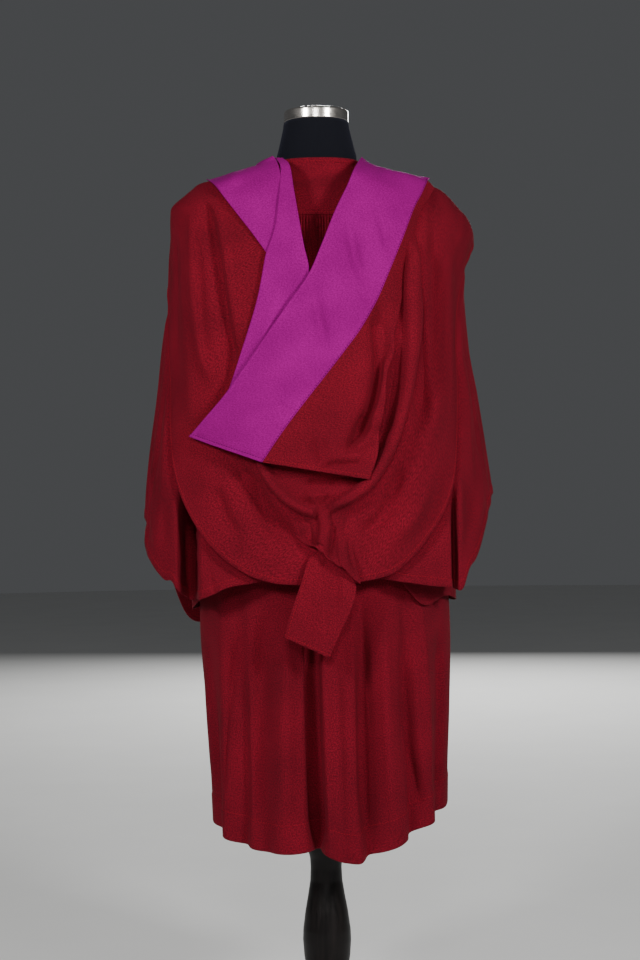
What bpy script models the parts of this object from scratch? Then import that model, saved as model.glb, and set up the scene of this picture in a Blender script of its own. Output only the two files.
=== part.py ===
"""A graduation gown with its hood, worn by a limbless dress form on a turned stand.

Metres, +Z up. The origin is the centre of the stand's underside. The back of the gown
faces -Y and its open front faces +Y. Angles round the body are in degrees: 0 at the centre
of the back, 90 at the +X side, 180 at the centre of the front.
"""
import math
from collections import namedtuple

import bpy
from mathutils import Vector

OBJECT_NAME = "graduation_gown"


def table(columns, *rows):
    """Rows whose values are read by the names of their columns."""
    row_type = namedtuple("Row", columns)
    return [row_type(*row) for row in rows]


# Driving sizes
WALL = 0.002
FLUTED_WALL = 0.0024
SEAM_GAP = 0.0006
FLAP_INSET = 0.0014
ROUNDNESS = 2.3
HEM_HEIGHT = 0.358
HEM_REACH = 0.24
YOKE_SEAM_HEIGHT = 1.481
SHOULDER_HEIGHT = 1.536
ARMHOLE_HEIGHT = 1.436
ARMHOLE_HALF_HEIGHT = 0.100
ARMHOLE_HALF_ANGLE = 30.0
SHOULDER_SEAM_ANGLE = 92.0
SHOULDER_SEAM_GAP = 0.6
SIDE_SEAM_ANGLE = 0.16
FLUTE_COUNT = 48
SAMPLES_PER_FLUTE = 4
FLUTE_DEPTH = 0.0017
FLUTE_FADE = 0.6
FLUTE_HEIGHTS = (YOKE_SEAM_HEIGHT, 1.446, 1.405)
YOKE_COLUMNS = 20
UPPER_HEIGHTS = (1.588, 1.579, 1.569, 1.558, 1.5475, 1.537, 1.5315, 1.521, 1.502)
CHEST_HEIGHTS = (1.480, 1.440, 1.400)
PANEL_HEIGHTS = (1.365, 1.330, 1.25, 1.15, 1.05, 0.95, 0.87, 0.78, 0.68, 0.58, 0.48, HEM_HEIGHT)
FRONT_COLUMNS = 8
FRONT_LEAST_ANGLE = 6.0
FOLD_HOLD = 1.25
FOLD_END_SHARE = 0.14
NORMAL_STEP = 0.004
FULL_FOLD_LIFT = 0.008
POST_SIDES = 20
BASE_SIDES = 32

# Half of the gap between the two fronts at each height
FRONT_GAP = table(
    "z half_gap",
    (0.400, 0.032),
    (0.700, 0.022),
    (1.000, 0.012),
    (1.360, 0.012),
    (1.440, 0.027),
    (1.520, 0.047),
    (1.590, 0.068),
)

# Height of the gown's hem at each angle
HEM_EDGE = table(
    "angle z",
    (-180.0, 0.362),
    (-170.0, 0.362),
    (-130.0, 0.376),
    (-110.0, 0.388),
    (-90.0, 0.392),
    (-65.0, 0.381),
    (-50.0, 0.367),
    (-35.0, 0.358),
    (-20.0, 0.358),
    (-8.0, 0.362),
    (0.0, 0.352),
    (8.0, 0.343),
    (15.0, 0.339),
    (24.0, 0.353),
    (32.0, 0.363),
    (42.0, 0.375),
    (52.0, 0.396),
    (62.0, 0.409),
    (75.0, 0.415),
    (90.0, 0.424),
    (110.0, 0.405),
    (130.0, 0.378),
    (180.0, 0.362),
)

# Gown body at each height: centre x, half width, depth behind and in front of the middle
BODY_SECTIONS = table(
    "z centre half_width back front",
    (0.340, 0.009, 0.214, 0.184, 0.152),
    (0.500, 0.009, 0.2177, 0.181, 0.150),
    (0.600, 0.008, 0.2223, 0.176, 0.149),
    (0.750, 0.004, 0.2297, 0.166, 0.147),
    (0.850, 0.002, 0.2260, 0.158, 0.145),
    (1.000, 0.000, 0.2120, 0.147, 0.141),
    (1.150, 0.000, 0.2000, 0.137, 0.136),
    (1.300, 0.000, 0.1890, 0.127, 0.130),
    (1.380, 0.000, 0.1850, 0.121, 0.124),
    (1.450, 0.000, 0.1880, 0.112, 0.112),
    (1.500, 0.000, 0.1950, 0.101, 0.096),
    (1.530, 0.000, 0.1900, 0.090, 0.083),
    (1.538, 0.000, 0.1760, 0.087, 0.080),
    (1.548, 0.000, 0.1400, 0.0828, 0.076),
    (1.558, 0.000, 0.1080, 0.0793, 0.0725),
    (1.569, 0.000, 0.0865, 0.0763, 0.0693),
    (1.580, 0.000, 0.0790, 0.0735, 0.0665),
    (1.590, 0.000, 0.0775, 0.0720, 0.0650),
)

# Outer face of the hood's cape and of the sleeves' outer walls at each height
HOOD_SECTIONS = table(
    "z left right back front",
    (0.300, 0.330, 0.322, 0.212, 0.160),
    (0.850, 0.330, 0.320, 0.208, 0.158),
    (0.940, 0.3226, 0.314, 0.206, 0.156),
    (1.050, 0.3100, 0.299, 0.202, 0.154),
    (1.160, 0.2940, 0.284, 0.196, 0.152),
    (1.250, 0.2835, 0.270, 0.189, 0.150),
    (1.340, 0.2740, 0.2665, 0.179, 0.148),
    (1.410, 0.2710, 0.2770, 0.166, 0.142),
    (1.450, 0.2700, 0.2853, 0.157, 0.134),
    (1.477, 0.2712, 0.2780, 0.149, 0.126),
    (1.504, 0.2700, 0.2570, 0.140, 0.116),
    (1.533, 0.2411, 0.2290, 0.128, 0.104),
    (1.541, 0.2309, 0.2080, 0.1235, 0.1005),
    (1.549, 0.2206, 0.1776, 0.119, 0.097),
    (1.552, 0.1984, 0.1650, 0.117, 0.0957),
    (1.558, 0.1720, 0.1350, 0.1125, 0.093),
    (1.565, 0.1376, 0.1136, 0.1075, 0.0895),
    (1.570, 0.1255, 0.1000, 0.104, 0.087),
    (1.577, 0.1093, 0.0890, 0.0991, 0.0835),
    (1.588, 0.0940, 0.0825, 0.0905, 0.078),
    (1.602, 0.0840, 0.0790, 0.080, 0.071),
)

# Large folds of the skirt: angle, half width in degrees, rise at the hem and where it fades
SKIRT_FOLDS = table(
    "angle spread rise fades_at",
    (-8.0, 3.2, -0.030, 0.98),
    (4.0, 6.0, 0.012, 0.90),
    (22.0, 4.0, -0.020, 0.92),
    (34.0, 6.0, 0.010, 0.90),
    (46.0, 3.4, -0.015, 1.00),
    (54.0, 4.0, 0.012, 0.96),
    (66.0, 5.0, -0.012, 0.88),
    (-24.0, 7.0, 0.010, 0.86),
    (-36.0, 5.0, -0.008, 0.84),
    (-49.0, 4.0, -0.013, 0.98),
    (-58.0, 4.5, 0.010, 0.94),
    (-70.0, 5.0, -0.010, 0.86),
    (104.0, 6.0, -0.014, 1.05),
    (118.0, 6.0, 0.012, 0.98),
    (134.0, 6.0, -0.015, 1.10),
    (150.0, 6.0, 0.012, 1.00),
    (-104.0, 6.0, -0.013, 0.98),
    (-120.0, 6.0, 0.013, 1.05),
    (-137.0, 6.0, -0.014, 1.05),
    (-152.0, 6.0, 0.011, 0.96),
)

# Lower edge of the hood's cape at each angle from the centre of the back
CAPE_HEM = table(
    "angle left_z right_z",
    (0.0, 0.826, 0.825),
    (18.0, 0.829, 0.832),
    (30.0, 0.840, 0.842),
    (39.0, 0.862, 0.870),
    (46.0, 0.889, 0.905),
    (52.0, 0.922, 0.943),
    (57.0, 0.958, 0.989),
    (60.0, 0.985, 1.037),
    (63.0, 1.020, 1.110),
    (66.5, 1.077, 1.190),
    (70.0, 1.155, 1.262),
    (76.0, 1.240, 1.330),
    (82.0, 1.300, 1.385),
    (92.0, 1.380, 1.435),
    (104.0, 1.450, 1.475),
    (118.0, 1.500, 1.508),
    (132.0, 1.520, 1.522),
)
CAPE_ANGLES = (2, 7, 13, 19, 25, 31, 37, 43, 48, 52.5, 56.5, 60, 63, 66.5, 71, 77, 84, 93, 104, 118, 132)
CAPE_ROWS = 16
CAPE_ROW_SPACING = 1.35

# Neck edge of the cape, which opens in a V over the yoke, at each angle
CAPE_NECK = table(
    "angle left_z right_z",
    (0.0, 1.352, 1.352),
    (2.0, 1.356, 1.352),
    (7.0, 1.385, 1.358),
    (13.0, 1.455, 1.420),
    (19.0, 1.520, 1.480),
    (25.0, 1.550, 1.528),
    (37.0, 1.575, 1.566),
    (48.0, 1.584, 1.578),
    (66.0, 1.592, 1.586),
    (93.0, 1.598, 1.594),
    (132.0, 1.586, 1.584),
)

# Sleeve rim, in the order that goes round it: angle where it hangs, layer from the inner
# wall (0) to the outer wall (1), angle on the armhole (0 under the arm, 180 on top), height
# of the left and right mouth. Angles are for the +X sleeve; the -X sleeve turns their signs.
SLEEVE_RIM = table(
    "angle layer armhole left_z right_z",
    (31.0, 0.50, 30.0, 0.835, 0.836),
    (34.0, 0.92, 48.0, 0.830, 0.832),
    (41.0, 1.00, 64.0, 0.824, 0.826),
    (48.0, 1.00, 78.0, 0.809, 0.821),
    (53.5, 1.00, 92.0, 0.799, 0.818),
    (56.5, 1.00, 102.0, 0.796, 0.813),
    (59.5, 1.00, 112.0, 0.812, 0.815),
    (62.5, 1.00, 122.0, 0.834, 0.850),
    (66.0, 1.00, 134.0, 0.837, 0.869),
    (73.0, 1.00, 148.0, 0.866, 0.926),
    (81.0, 1.00, 164.0, 0.893, 0.960),
    (89.0, 1.00, 180.0, 0.940, 0.980),
    (97.0, 1.00, 198.0, 0.935, 0.975),
    (105.0, 1.00, 216.0, 0.868, 0.925),
    (113.0, 1.00, 236.0, 0.757, 0.855),
    (121.0, 1.00, 258.0, 0.742, 0.795),
    (128.0, 0.92, 284.0, 0.750, 0.775),
    (131.0, 0.50, 312.0, 0.765, 0.780),
    (125.0, 0.06, 326.0, 0.776, 0.786),
    (112.0, 0.00, 336.0, 0.780, 0.786),
    (97.0, 0.00, 348.0, 0.774, 0.784),
    (82.0, 0.00, 360.0, 0.772, 0.784),
    (67.0, 0.00, 371.0, 0.780, 0.792),
    (53.0, 0.00, 381.0, 0.798, 0.806),
    (40.0, 0.05, 387.0, 0.818, 0.822),
)
SLEEVE_ROWS = 12
SLEEVE_SLIT_ANGLE = 59.5
SLEEVE_SLIT_SPREAD = 2.6
SLEEVE_SLIT_DEPTH = 0.052
SLEEVE_SLIT_TOP = 0.985
SLEEVE_SLIT_FULL = 0.880
SLEEVE_INNER_CLEARANCE = 0.012
SLEEVE_UNDER_CAPE = 0.014
SLEEVE_CLEAR = 0.001
SLEEVE_HEAD_LIFT = 0.0032
SLEEVE_ROW_SPACING = 1.25
SLEEVE_DROP_POWER = 1.15
SLEEVE_HANG_SHARE = 0.55
SLEEVE_OPEN_SHARE = 0.22
SLEEVE_OPEN_POWER = 0.75
SLEEVE_OUTER_LAYER = 0.9
CAPE_COVER_BELOW = 0.06
CAPE_COVER_FADE = 0.05

# Hood pieces that lie on the cape. Each row crosses a piece from its left rail to its right
# rail; side is 1 where the row lies in front of the shoulder and -1 behind it.
RAIL_COLUMNS = "left_x left_z right_x right_z left_lift right_lift side"
LINING_LEFT_SHOULDER = table(
    RAIL_COLUMNS,
    (-0.1500, 1.5450, -0.0780, 1.5840, 0.012, 0.012, 1),
    (-0.1830, 1.5535, -0.0785, 1.5950, 0.012, 0.012, 1),
    (-0.1984, 1.5518, -0.0800, 1.5990, 0.011, 0.011, -1),
    (-0.1820, 1.5350, -0.0700, 1.5750, 0.009, 0.009, -1),
    (-0.1634, 1.5100, -0.0650, 1.5480, 0.006, 0.006, -1),
    (-0.1365, 1.4732, -0.0656, 1.5022, 0.005, 0.005, -1),
    (-0.1117, 1.4392, -0.0729, 1.4561, 0.005, 0.005, -1),
    (-0.0891, 1.4061, -0.0855, 1.4114, 0.005, 0.005, -1),
)
LINING_LEFT_FOLD = table(
    RAIL_COLUMNS,
    (-0.0720, 1.5850, -0.0600, 1.5830, 0.0120, 0.0120, -1),
    (-0.0599, 1.5580, -0.0475, 1.5618, 0.0115, 0.0115, -1),
    (-0.0665, 1.5050, -0.0410, 1.5170, 0.0095, 0.0095, -1),
    (-0.0727, 1.4550, -0.0340, 1.4725, 0.0090, 0.0090, -1),
    (-0.0830, 1.4200, -0.0250, 1.4180, 0.0090, 0.0080, -1),
    (-0.0900, 1.4000, -0.0161, 1.3644, 0.0090, 0.0070, -1),
    (-0.1053, 1.3222, -0.0290, 1.2900, 0.0085, 0.0065, -1),
    (-0.1324, 1.2355, -0.0800, 1.2050, 0.0080, 0.0060, -1),
    (-0.1595, 1.1577, -0.1380, 1.1500, 0.0075, 0.0060, -1),
    (-0.1702, 1.1458, -0.1530, 1.1370, 0.0070, 0.0060, -1),
)
LINING_RIGHT = table(
    RAIL_COLUMNS,
    (0.0760, 1.5820, 0.1500, 1.5420, 0.014, 0.014, 1),
    (0.0740, 1.5960, 0.1985, 1.5420, 0.015, 0.015, -1),
    (0.0735, 1.5850, 0.1955, 1.5370, 0.015, 0.015, -1),
    (0.0732, 1.5729, 0.1895, 1.5280, 0.016, 0.016, -1),
    (0.0640, 1.5480, 0.1800, 1.5070, 0.016, 0.016, -1),
    (0.0526, 1.5203, 0.1664, 1.4805, 0.016, 0.016, -1),
    (0.0307, 1.4740, 0.1436, 1.4254, 0.015, 0.017, -1),
    (0.0072, 1.4164, 0.1196, 1.3681, 0.015, 0.020, -1),
    (-0.0160, 1.3635, 0.0978, 1.3186, 0.015, 0.023, -1),
    (-0.0495, 1.3148, 0.0709, 1.2697, 0.016, 0.027, -1),
    (-0.0882, 1.2598, 0.0444, 1.2317, 0.016, 0.030, -1),
    (-0.1253, 1.2051, 0.0040, 1.1785, 0.017, 0.035, -1),
    (-0.1591, 1.1574, -0.0345, 1.1289, 0.018, 0.040, -1),
    (-0.1913, 1.1200, -0.0661, 1.0846, 0.018, 0.045, -1),
    (-0.2221, 1.0859, -0.0959, 1.0385, 0.016, 0.048, -1),
)
COWL_FLAP = table(
    RAIL_COLUMNS,
    (0.1985, 1.5420, 0.2075, 1.5390, 0.015, 0.013, -1),
    (0.1955, 1.5370, 0.2085, 1.5280, 0.015, 0.014, -1),
    (0.1895, 1.5280, 0.2030, 1.5170, 0.016, 0.015, -1),
    (0.1800, 1.5070, 0.1940, 1.5010, 0.016, 0.016, -1),
    (0.1664, 1.4805, 0.1830, 1.4850, 0.016, 0.016, -1),
    (0.1436, 1.4254, 0.1620, 1.4300, 0.017, 0.018, -1),
    (0.1196, 1.3681, 0.1400, 1.3720, 0.020, 0.020, -1),
    (0.0978, 1.3186, 0.1206, 1.3100, 0.023, 0.024, -1),
    (0.0709, 1.2697, 0.1102, 1.2500, 0.027, 0.028, -1),
    (0.0444, 1.2317, 0.1110, 1.1950, 0.030, 0.032, -1),
    (0.0040, 1.1785, 0.1116, 1.1430, 0.035, 0.037, -1),
    (-0.0345, 1.1289, 0.1047, 1.0920, 0.040, 0.041, -1),
    (-0.0661, 1.0846, 0.0900, 1.0480, 0.045, 0.044, -1),
    (-0.0959, 1.0385, 0.0773, 1.0052, 0.048, 0.046, -1),
)
COWL_POUCH = table(
    RAIL_COLUMNS,
    (0.0920, 1.5400, 0.1930, 1.5200, 0.0080, 0.0080, -1),
    (0.0830, 1.5130, 0.1920, 1.4950, 0.0075, 0.0075, -1),
    (0.0700, 1.4800, 0.1880, 1.4650, 0.0070, 0.0070, -1),
    (0.0400, 1.4050, 0.1720, 1.4099, 0.0070, 0.0065, -1),
    (0.0100, 1.3350, 0.1650, 1.3207, 0.0070, 0.0060, -1),
    (-0.0300, 1.2650, 0.1610, 1.2325, 0.0080, 0.0060, -1),
    (-0.0700, 1.1824, 0.1540, 1.1449, 0.0085, 0.0060, -1),
    (-0.1000, 1.1200, 0.1390, 1.0754, 0.0080, 0.0060, -1),
    (-0.1100, 1.0787, 0.1230, 1.0420, 0.0060, 0.0060, -1),
    (-0.1030, 1.0404, 0.1080, 1.0130, 0.0060, 0.0060, -1),
    (-0.0949, 1.0058, 0.0860, 0.9861, 0.0060, 0.0060, -1),
    (-0.0770, 0.9690, 0.0650, 0.9540, 0.0055, 0.0060, -1),
    (-0.0580, 0.9390, 0.0500, 0.9270, 0.0055, 0.0060, -1),
    (-0.0400, 0.9140, 0.0410, 0.9050, 0.0060, 0.0060, -1),
    (-0.0240, 0.8930, 0.0390, 0.8880, 0.0070, 0.0070, -1),
    (-0.0130, 0.8770, 0.0405, 0.8710, 0.0080, 0.0080, -1),
)
LIRIPIPE = table(
    RAIL_COLUMNS,
    (-0.0239, 0.8960, 0.0140, 0.9000, 0.0150, 0.0180, -1),
    (-0.0242, 0.8691, 0.0409, 0.8527, 0.0160, 0.0180, -1),
    (-0.0332, 0.8365, 0.0577, 0.8249, 0.0170, 0.0160, -1),
    (-0.0440, 0.8057, 0.0480, 0.7870, 0.0170, 0.0160, -1),
    (-0.0565, 0.7681, 0.0300, 0.7500, 0.0180, 0.0170, -1),
    (-0.0638, 0.7389, 0.0095, 0.7035, 0.0180, 0.0180, -1),
)
NECKBAND = table(
    RAIL_COLUMNS,
    (-0.1440, 1.5330, -0.0770, 1.5720, 0.006, 0.006, 1),
    (-0.1210, 1.5080, -0.0640, 1.5420, 0.005, 0.005, 1),
    (-0.0900, 1.4680, -0.0440, 1.5000, 0.004, 0.004, 1),
    (-0.0500, 1.4200, -0.0220, 1.4620, 0.004, 0.004, 1),
    (-0.0006, 1.3720, -0.0006, 1.4300, 0.004, 0.004, 1),
)

# Folds of the hood, each a line of (x, z) points with its half width and its rise
COWL_ROLL = ((0.166, 1.450), (0.1576, 1.4081), (0.1504, 1.3194), (0.1470, 1.2316), (0.1406, 1.1705),
             (0.1311, 1.1219), (0.1146, 1.0736), (0.1020, 1.0444), (0.0806, 1.0017), (0.0543, 0.9711),
             (0.0276, 0.9543), (0.0047, 0.9476), (-0.0180, 0.9457), (-0.0401, 0.9605),
             (-0.0639, 0.9831), (-0.0842, 1.0074), (-0.0925, 1.0350))
COWL_FOLDS = (
    (COWL_ROLL, 0.0085, 0.0150),
    (((0.004, 0.944), (0.008, 0.918), (0.018, 0.885)), 0.008, 0.006),
)
FLAP_FOLDS = (
    (((0.092, 1.300), (0.099, 1.235), (0.090, 1.160), (0.066, 1.105), (0.040, 1.072)), 0.013, -0.009),
    (((0.104, 1.180), (0.092, 1.110), (0.078, 1.060)), 0.010, 0.007),
)
BAND_FOLDS = (
    (((-0.010, 1.345), (0.006, 1.285), (0.016, 1.225)), 0.014, -0.004),
    (((0.048, 1.480), (0.066, 1.390), (0.088, 1.335)), 0.016, -0.003),
)
CAPE_FOLDS = (
    (((-0.203, 1.510), (-0.192, 1.430), (-0.180, 1.350), (-0.160, 1.230), (-0.148, 1.180)), 0.011, -0.006),
    (((-0.222, 1.500), (-0.216, 1.330), (-0.204, 1.240), (-0.184, 1.170)), 0.012, 0.008),
    (((-0.165, 1.080), (-0.135, 1.010), (-0.102, 0.955), (-0.050, 0.905)), 0.020, -0.007),
    (((-0.198, 1.000), (-0.170, 0.930), (-0.135, 0.895)), 0.014, -0.005),
    (((0.205, 1.540), (0.206, 1.400), (0.205, 1.240)), 0.010, -0.004),
    (((0.180, 1.400), (0.175, 1.280), (0.176, 1.160), (0.190, 1.080)), 0.013, -0.006),
    (((0.196, 1.180), (0.196, 1.040), (0.160, 0.960), (0.110, 0.905)), 0.022, 0.008),
)
LIRIPIPE_FOLDS = (
    (((-0.004, 0.870), (0.020, 0.835), (0.012, 0.790)), 0.010, -0.005),
)

# Dress form: half width, half depth and centre y of the jersey body at each height
FORM_SECTIONS = table(
    "z half_width half_depth centre_y",
    (0.862, 0.140, 0.098, 0.000),
    (0.868, 0.158, 0.112, 0.000),
    (0.885, 0.164, 0.117, 0.000),
    (0.950, 0.165, 0.117, 0.000),
    (1.040, 0.150, 0.106, 0.000),
    (1.110, 0.141, 0.099, 0.000),
    (1.200, 0.150, 0.103, 0.002),
    (1.300, 0.166, 0.108, 0.004),
    (1.380, 0.172, 0.107, 0.004),
    (1.440, 0.175, 0.098, 0.002),
    (1.490, 0.175, 0.084, 0.000),
    (1.520, 0.164, 0.072, 0.000),
    (1.535, 0.136, 0.065, 0.000),
    (1.552, 0.098, 0.059, 0.000),
    (1.568, 0.0785, 0.0565, 0.000),
    (1.585, 0.0740, 0.0555, 0.000),
    (1.600, 0.0735, 0.0560, 0.000),
    (1.612, 0.0705, 0.0565, 0.000),
    (1.635, 0.0650, 0.0575, 0.000),
    (1.6633, 0.0586, 0.0586, 0.000),
)
FORM_SIDES = 24
FORM_ROUNDNESS = 2.15

# Turned pieces: radius and height, from the top down the outer side
CAP_PROFILE = (
    (0.0000, 1.6880), (0.0300, 1.6874), (0.0500, 1.6858), (0.0575, 1.6845), (0.0591, 1.6828),
    (0.0593, 1.6730), (0.0593, 1.6650), (0.0585, 1.6636), (0.0000, 1.6636),
)
POST_PROFILE = (
    (0.0000, 0.8617), (0.0330, 0.8617), (0.0330, 0.8200), (0.0270, 0.8050), (0.0270, 0.4300),
    (0.0330, 0.4180), (0.0360, 0.3900), (0.0355, 0.3450), (0.0330, 0.3280), (0.0294, 0.3150),
    (0.0285, 0.2970), (0.0296, 0.2730), (0.0340, 0.2453), (0.0391, 0.2177), (0.0436, 0.1840),
    (0.0443, 0.1640), (0.0422, 0.1350), (0.0380, 0.1080), (0.0330, 0.0860), (0.0320, 0.0760),
    (0.0400, 0.0680), (0.0450, 0.0580), (0.0440, 0.0480), (0.0400, 0.0423), (0.0000, 0.0423),
)
BASE_PROFILE = (
    (0.0000, 0.0420), (0.0600, 0.0420), (0.0680, 0.0400), (0.0760, 0.0330), (0.1500, 0.0290),
    (0.1860, 0.0270), (0.1960, 0.0230), (0.2000, 0.0160), (0.2000, 0.0060), (0.1970, 0.0000),
    (0.0000, 0.0000),
)

# Colours with roughness and metallic value
CRIMSON = ((0.230, 0.006, 0.014, 1.0), 0.85, 0.0)
MAGENTA = ((0.420, 0.020, 0.300, 1.0), 0.40, 0.0)
JERSEY = ((0.006, 0.007, 0.014, 1.0), 0.90, 0.0)
CHROME = ((0.620, 0.560, 0.500, 1.0), 0.25, 1.0)
DARK_WOOD = ((0.012, 0.008, 0.007, 1.0), 0.35, 0.0)


def read_row(rows, at):
    """Row of a table at a height or angle, read between its two nearest rows."""
    if at <= rows[0][0]:
        return rows[0]
    for low, high in zip(rows, rows[1:]):
        if at <= high[0]:
            share = (at - low[0]) / (high[0] - low[0])
            return type(low)(*[a + (b - a) * share for a, b in zip(low, high)])
    return rows[-1]


def ease(value):
    """Smooth step from 0 to 1."""
    value = min(1.0, max(0.0, value))
    return value * value * (3.0 - 2.0 * value)


def bell(offset, spread):
    """Soft hump that is 1 at the middle."""
    return math.exp(-((offset / spread) ** 2))


def ring_radius(angle, half_width, depth, power=ROUNDNESS):
    """Distance from the axis to a superellipse in the direction of an angle."""
    across = abs(math.sin(math.radians(angle))) / half_width
    along = abs(math.cos(math.radians(angle))) / depth
    return (across ** power + along ** power) ** (-1.0 / power)


def turned_away(angle):
    """True where an angle points to the front half of the body."""
    return math.cos(math.radians(angle)) < 0.0


def plain_radius(angle, z):
    """Outer face of the gown's body without its folds."""
    section = read_row(BODY_SECTIONS, z)
    depth = section.front if turned_away(angle) else section.back
    return ring_radius(angle, section.half_width, depth)


def body_radius(angle, z):
    """Outer face of the gown's body, with the large folds of its skirt."""
    radius = plain_radius(angle, z)
    for fold in SKIRT_FOLDS:
        share = ease((fold.fades_at - z) / (fold.fades_at - HEM_HEIGHT) * FOLD_HOLD)
        radius += fold.rise * share * bell(angle - fold.angle, fold.spread)
    return radius


def body_point(angle, z, lift=0.0):
    """Point on the gown's body; its lowest rows follow the hem."""
    radius = body_radius(angle, z) + lift
    turn = math.radians(angle)
    x = read_row(BODY_SECTIONS, z).centre + radius * math.sin(turn)
    follows = ease(1.0 - (z - HEM_HEIGHT) / HEM_REACH)
    hem = read_row(HEM_EDGE, angle).z - HEM_HEIGHT
    return Vector((x, -radius * math.cos(turn), z + hem * follows))


def hood_radius(angle, z):
    """Outer face of the cape and of the sleeves' outer walls."""
    section = read_row(HOOD_SECTIONS, z)
    half_width = section.right if angle > 0 else section.left
    return ring_radius(angle, half_width, section.front if turned_away(angle) else section.back)


def line_rise(folds, x, z):
    """Rise of a cloth at (x, z) from folds that follow lines and fade out at their ends."""
    here = Vector((x, z))
    rise = 0.0
    for line, spread, height in folds:
        points = [Vector(point) for point in line]
        length = sum((end - start).length for start, end in zip(points, points[1:]))
        nearest, place, passed = math.inf, 0.0, 0.0
        for start, end in zip(points, points[1:]):
            run = end - start
            share = min(1.0, max(0.0, (here - start).dot(run) / run.length_squared))
            distance = (here - (start + run * share)).length
            if distance < nearest:
                nearest, place = distance, (passed + run.length * share) / length
            passed += run.length
        rise += height * bell(nearest, spread) * ease(min(place, 1.0 - place) / FOLD_END_SHARE)
    return rise


def hood_point(x, z, side, lift):
    """Point at (x, z) raised off the cape's face along its outward direction."""
    section = read_row(HOOD_SECTIONS, z)
    depth = section.front if side > 0 else section.back
    share = min(1.0, abs(x) / (section.right if x > 0 else section.left))
    y = side * depth * (1.0 - share ** ROUNDNESS) ** (1.0 / ROUNDNESS)
    outward = Vector((
        hood_level(x + NORMAL_STEP, y, z) - hood_level(x - NORMAL_STEP, y, z),
        hood_level(x, y + NORMAL_STEP, z) - hood_level(x, y - NORMAL_STEP, z),
        hood_level(x, y, z + NORMAL_STEP) - hood_level(x, y, z - NORMAL_STEP),
    ))
    return Vector((x, y, z)) + outward.normalized() * lift


def hood_level(x, y, z):
    """1 on the cape's face, less inside it and more outside it."""
    section = read_row(HOOD_SECTIONS, z)
    across = abs(x) / (section.right if x > 0 else section.left)
    along = abs(y) / (section.front if y > 0 else section.back)
    return (across ** ROUNDNESS + along ** ROUNDNESS) ** (1.0 / ROUNDNESS)


def armhole_angle(z):
    """Angle of the armhole's back edge at a height, or the shoulder seam's above it."""
    across = (z - ARMHOLE_HEIGHT) / ARMHOLE_HALF_HEIGHT
    if across >= 1.0:
        return SHOULDER_SEAM_ANGLE
    if across <= -1.0:
        return 90.0
    return 90.0 - ARMHOLE_HALF_ANGLE * math.sqrt(1.0 - across * across)


def make_material(name, finish):
    """Principled material of one sub-part."""
    colour, roughness, metallic = finish
    material = bpy.data.materials.new(name)
    material.use_nodes = True
    shader = material.node_tree.nodes["Principled BSDF"]
    shader.inputs["Base Color"].default_value = colour
    shader.inputs["Roughness"].default_value = roughness
    shader.inputs["Metallic"].default_value = metallic
    material.diffuse_color = colour
    return material


def add_object(name, points, faces, finish, collection):
    """Named object from points and faces, shaded smooth."""
    mesh = bpy.data.meshes.new(name)
    mesh.from_pydata([tuple(point) for point in points], [], faces)
    mesh.shade_smooth()
    mesh.materials.append(make_material(name, finish))
    made = bpy.data.objects.new(name, mesh)
    collection.objects.link(made)
    return made


def bridge(upper, lower):
    """Faces between two rows of point numbers; one row may have more points."""
    if len(upper) == len(lower):
        faces = [(upper[i], lower[i], lower[i + 1]) for i in range(len(upper) - 1)]
        return faces + [(upper[i], lower[i + 1], upper[i + 1]) for i in range(len(upper) - 1)]
    per_step = (len(upper) - 1) // (len(lower) - 1)
    faces = []
    for step in range(len(lower) - 1):
        fine = upper[step * per_step:(step + 1) * per_step + 1]
        middle = per_step // 2
        faces += [(fine[i], lower[step], fine[i + 1]) for i in range(middle)]
        faces.append((fine[middle], lower[step], lower[step + 1]))
        faces += [(fine[i], lower[step + 1], fine[i + 1]) for i in range(middle, per_step)]
    return faces


def cloth(name, rows, finish, collection, closed=False, turned=False):
    """Cloth wall: rows of points from the top down, thickened inward."""
    points, numbered = [], []
    for row in rows:
        first = len(points)
        points.extend(row)
        numbers = list(range(first, len(points)))
        numbered.append(numbers + numbers[:1] if closed else numbers)
    faces = []
    for upper, lower in zip(numbered, numbered[1:]):
        faces += bridge(upper, lower)
    if turned:
        faces = [tuple(reversed(face)) for face in faces]
    made = add_object(name, points, faces, finish, collection)
    wall = made.modifiers.new("wall", "SOLIDIFY")
    wall.thickness = WALL
    wall.offset = -1.0
    wall.use_quality_normals = True
    return made


def fluted_cloth(name, outer_rows, inner_rows, finish, collection):
    """Cloth wall whose flutes are raised in its outer face over a plain inner face."""
    points, outer, inner = [], [], []
    for numbered, rows in ((outer, outer_rows), (inner, inner_rows)):
        for row in rows:
            numbered.append(list(range(len(points), len(points) + len(row))))
            points.extend(row)
    faces = []
    for upper, lower in zip(outer, outer[1:]):
        faces += bridge(upper, lower)
    for upper, lower in zip(inner, inner[1:]):
        faces += [tuple(reversed(face)) for face in bridge(upper, lower)]
    faces += [tuple(reversed(face)) for face in bridge(outer[0], inner[0])]
    faces += bridge(outer[-1], inner[-1])
    for i in range(len(outer) - 1):
        faces.append((outer[i][0], inner[i][0], inner[i + 1][0], outer[i + 1][0]))
        faces.append((outer[i][-1], outer[i + 1][-1], inner[i + 1][-1], inner[i][-1]))
    return add_object(name, points, faces, finish, collection)


def turned_piece(name, profile, sides, finish, collection):
    """Piece turned on the Z axis from a profile that runs down its outer side."""
    mesh = bpy.data.meshes.new(name)
    points = [(radius, 0.0, z) for radius, z in profile]
    mesh.from_pydata(points, [(i, i + 1) for i in range(len(points) - 1)], [])
    mesh.materials.append(make_material(name, finish))
    made = bpy.data.objects.new(name, mesh)
    collection.objects.link(made)
    turn = made.modifiers.new("turn", "SCREW")
    turn.axis = "Z"
    turn.steps = sides
    turn.render_steps = sides
    turn.use_merge_vertices = True
    turn.merge_threshold = 0.0001
    turn.use_smooth_shade = True
    return made


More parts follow.
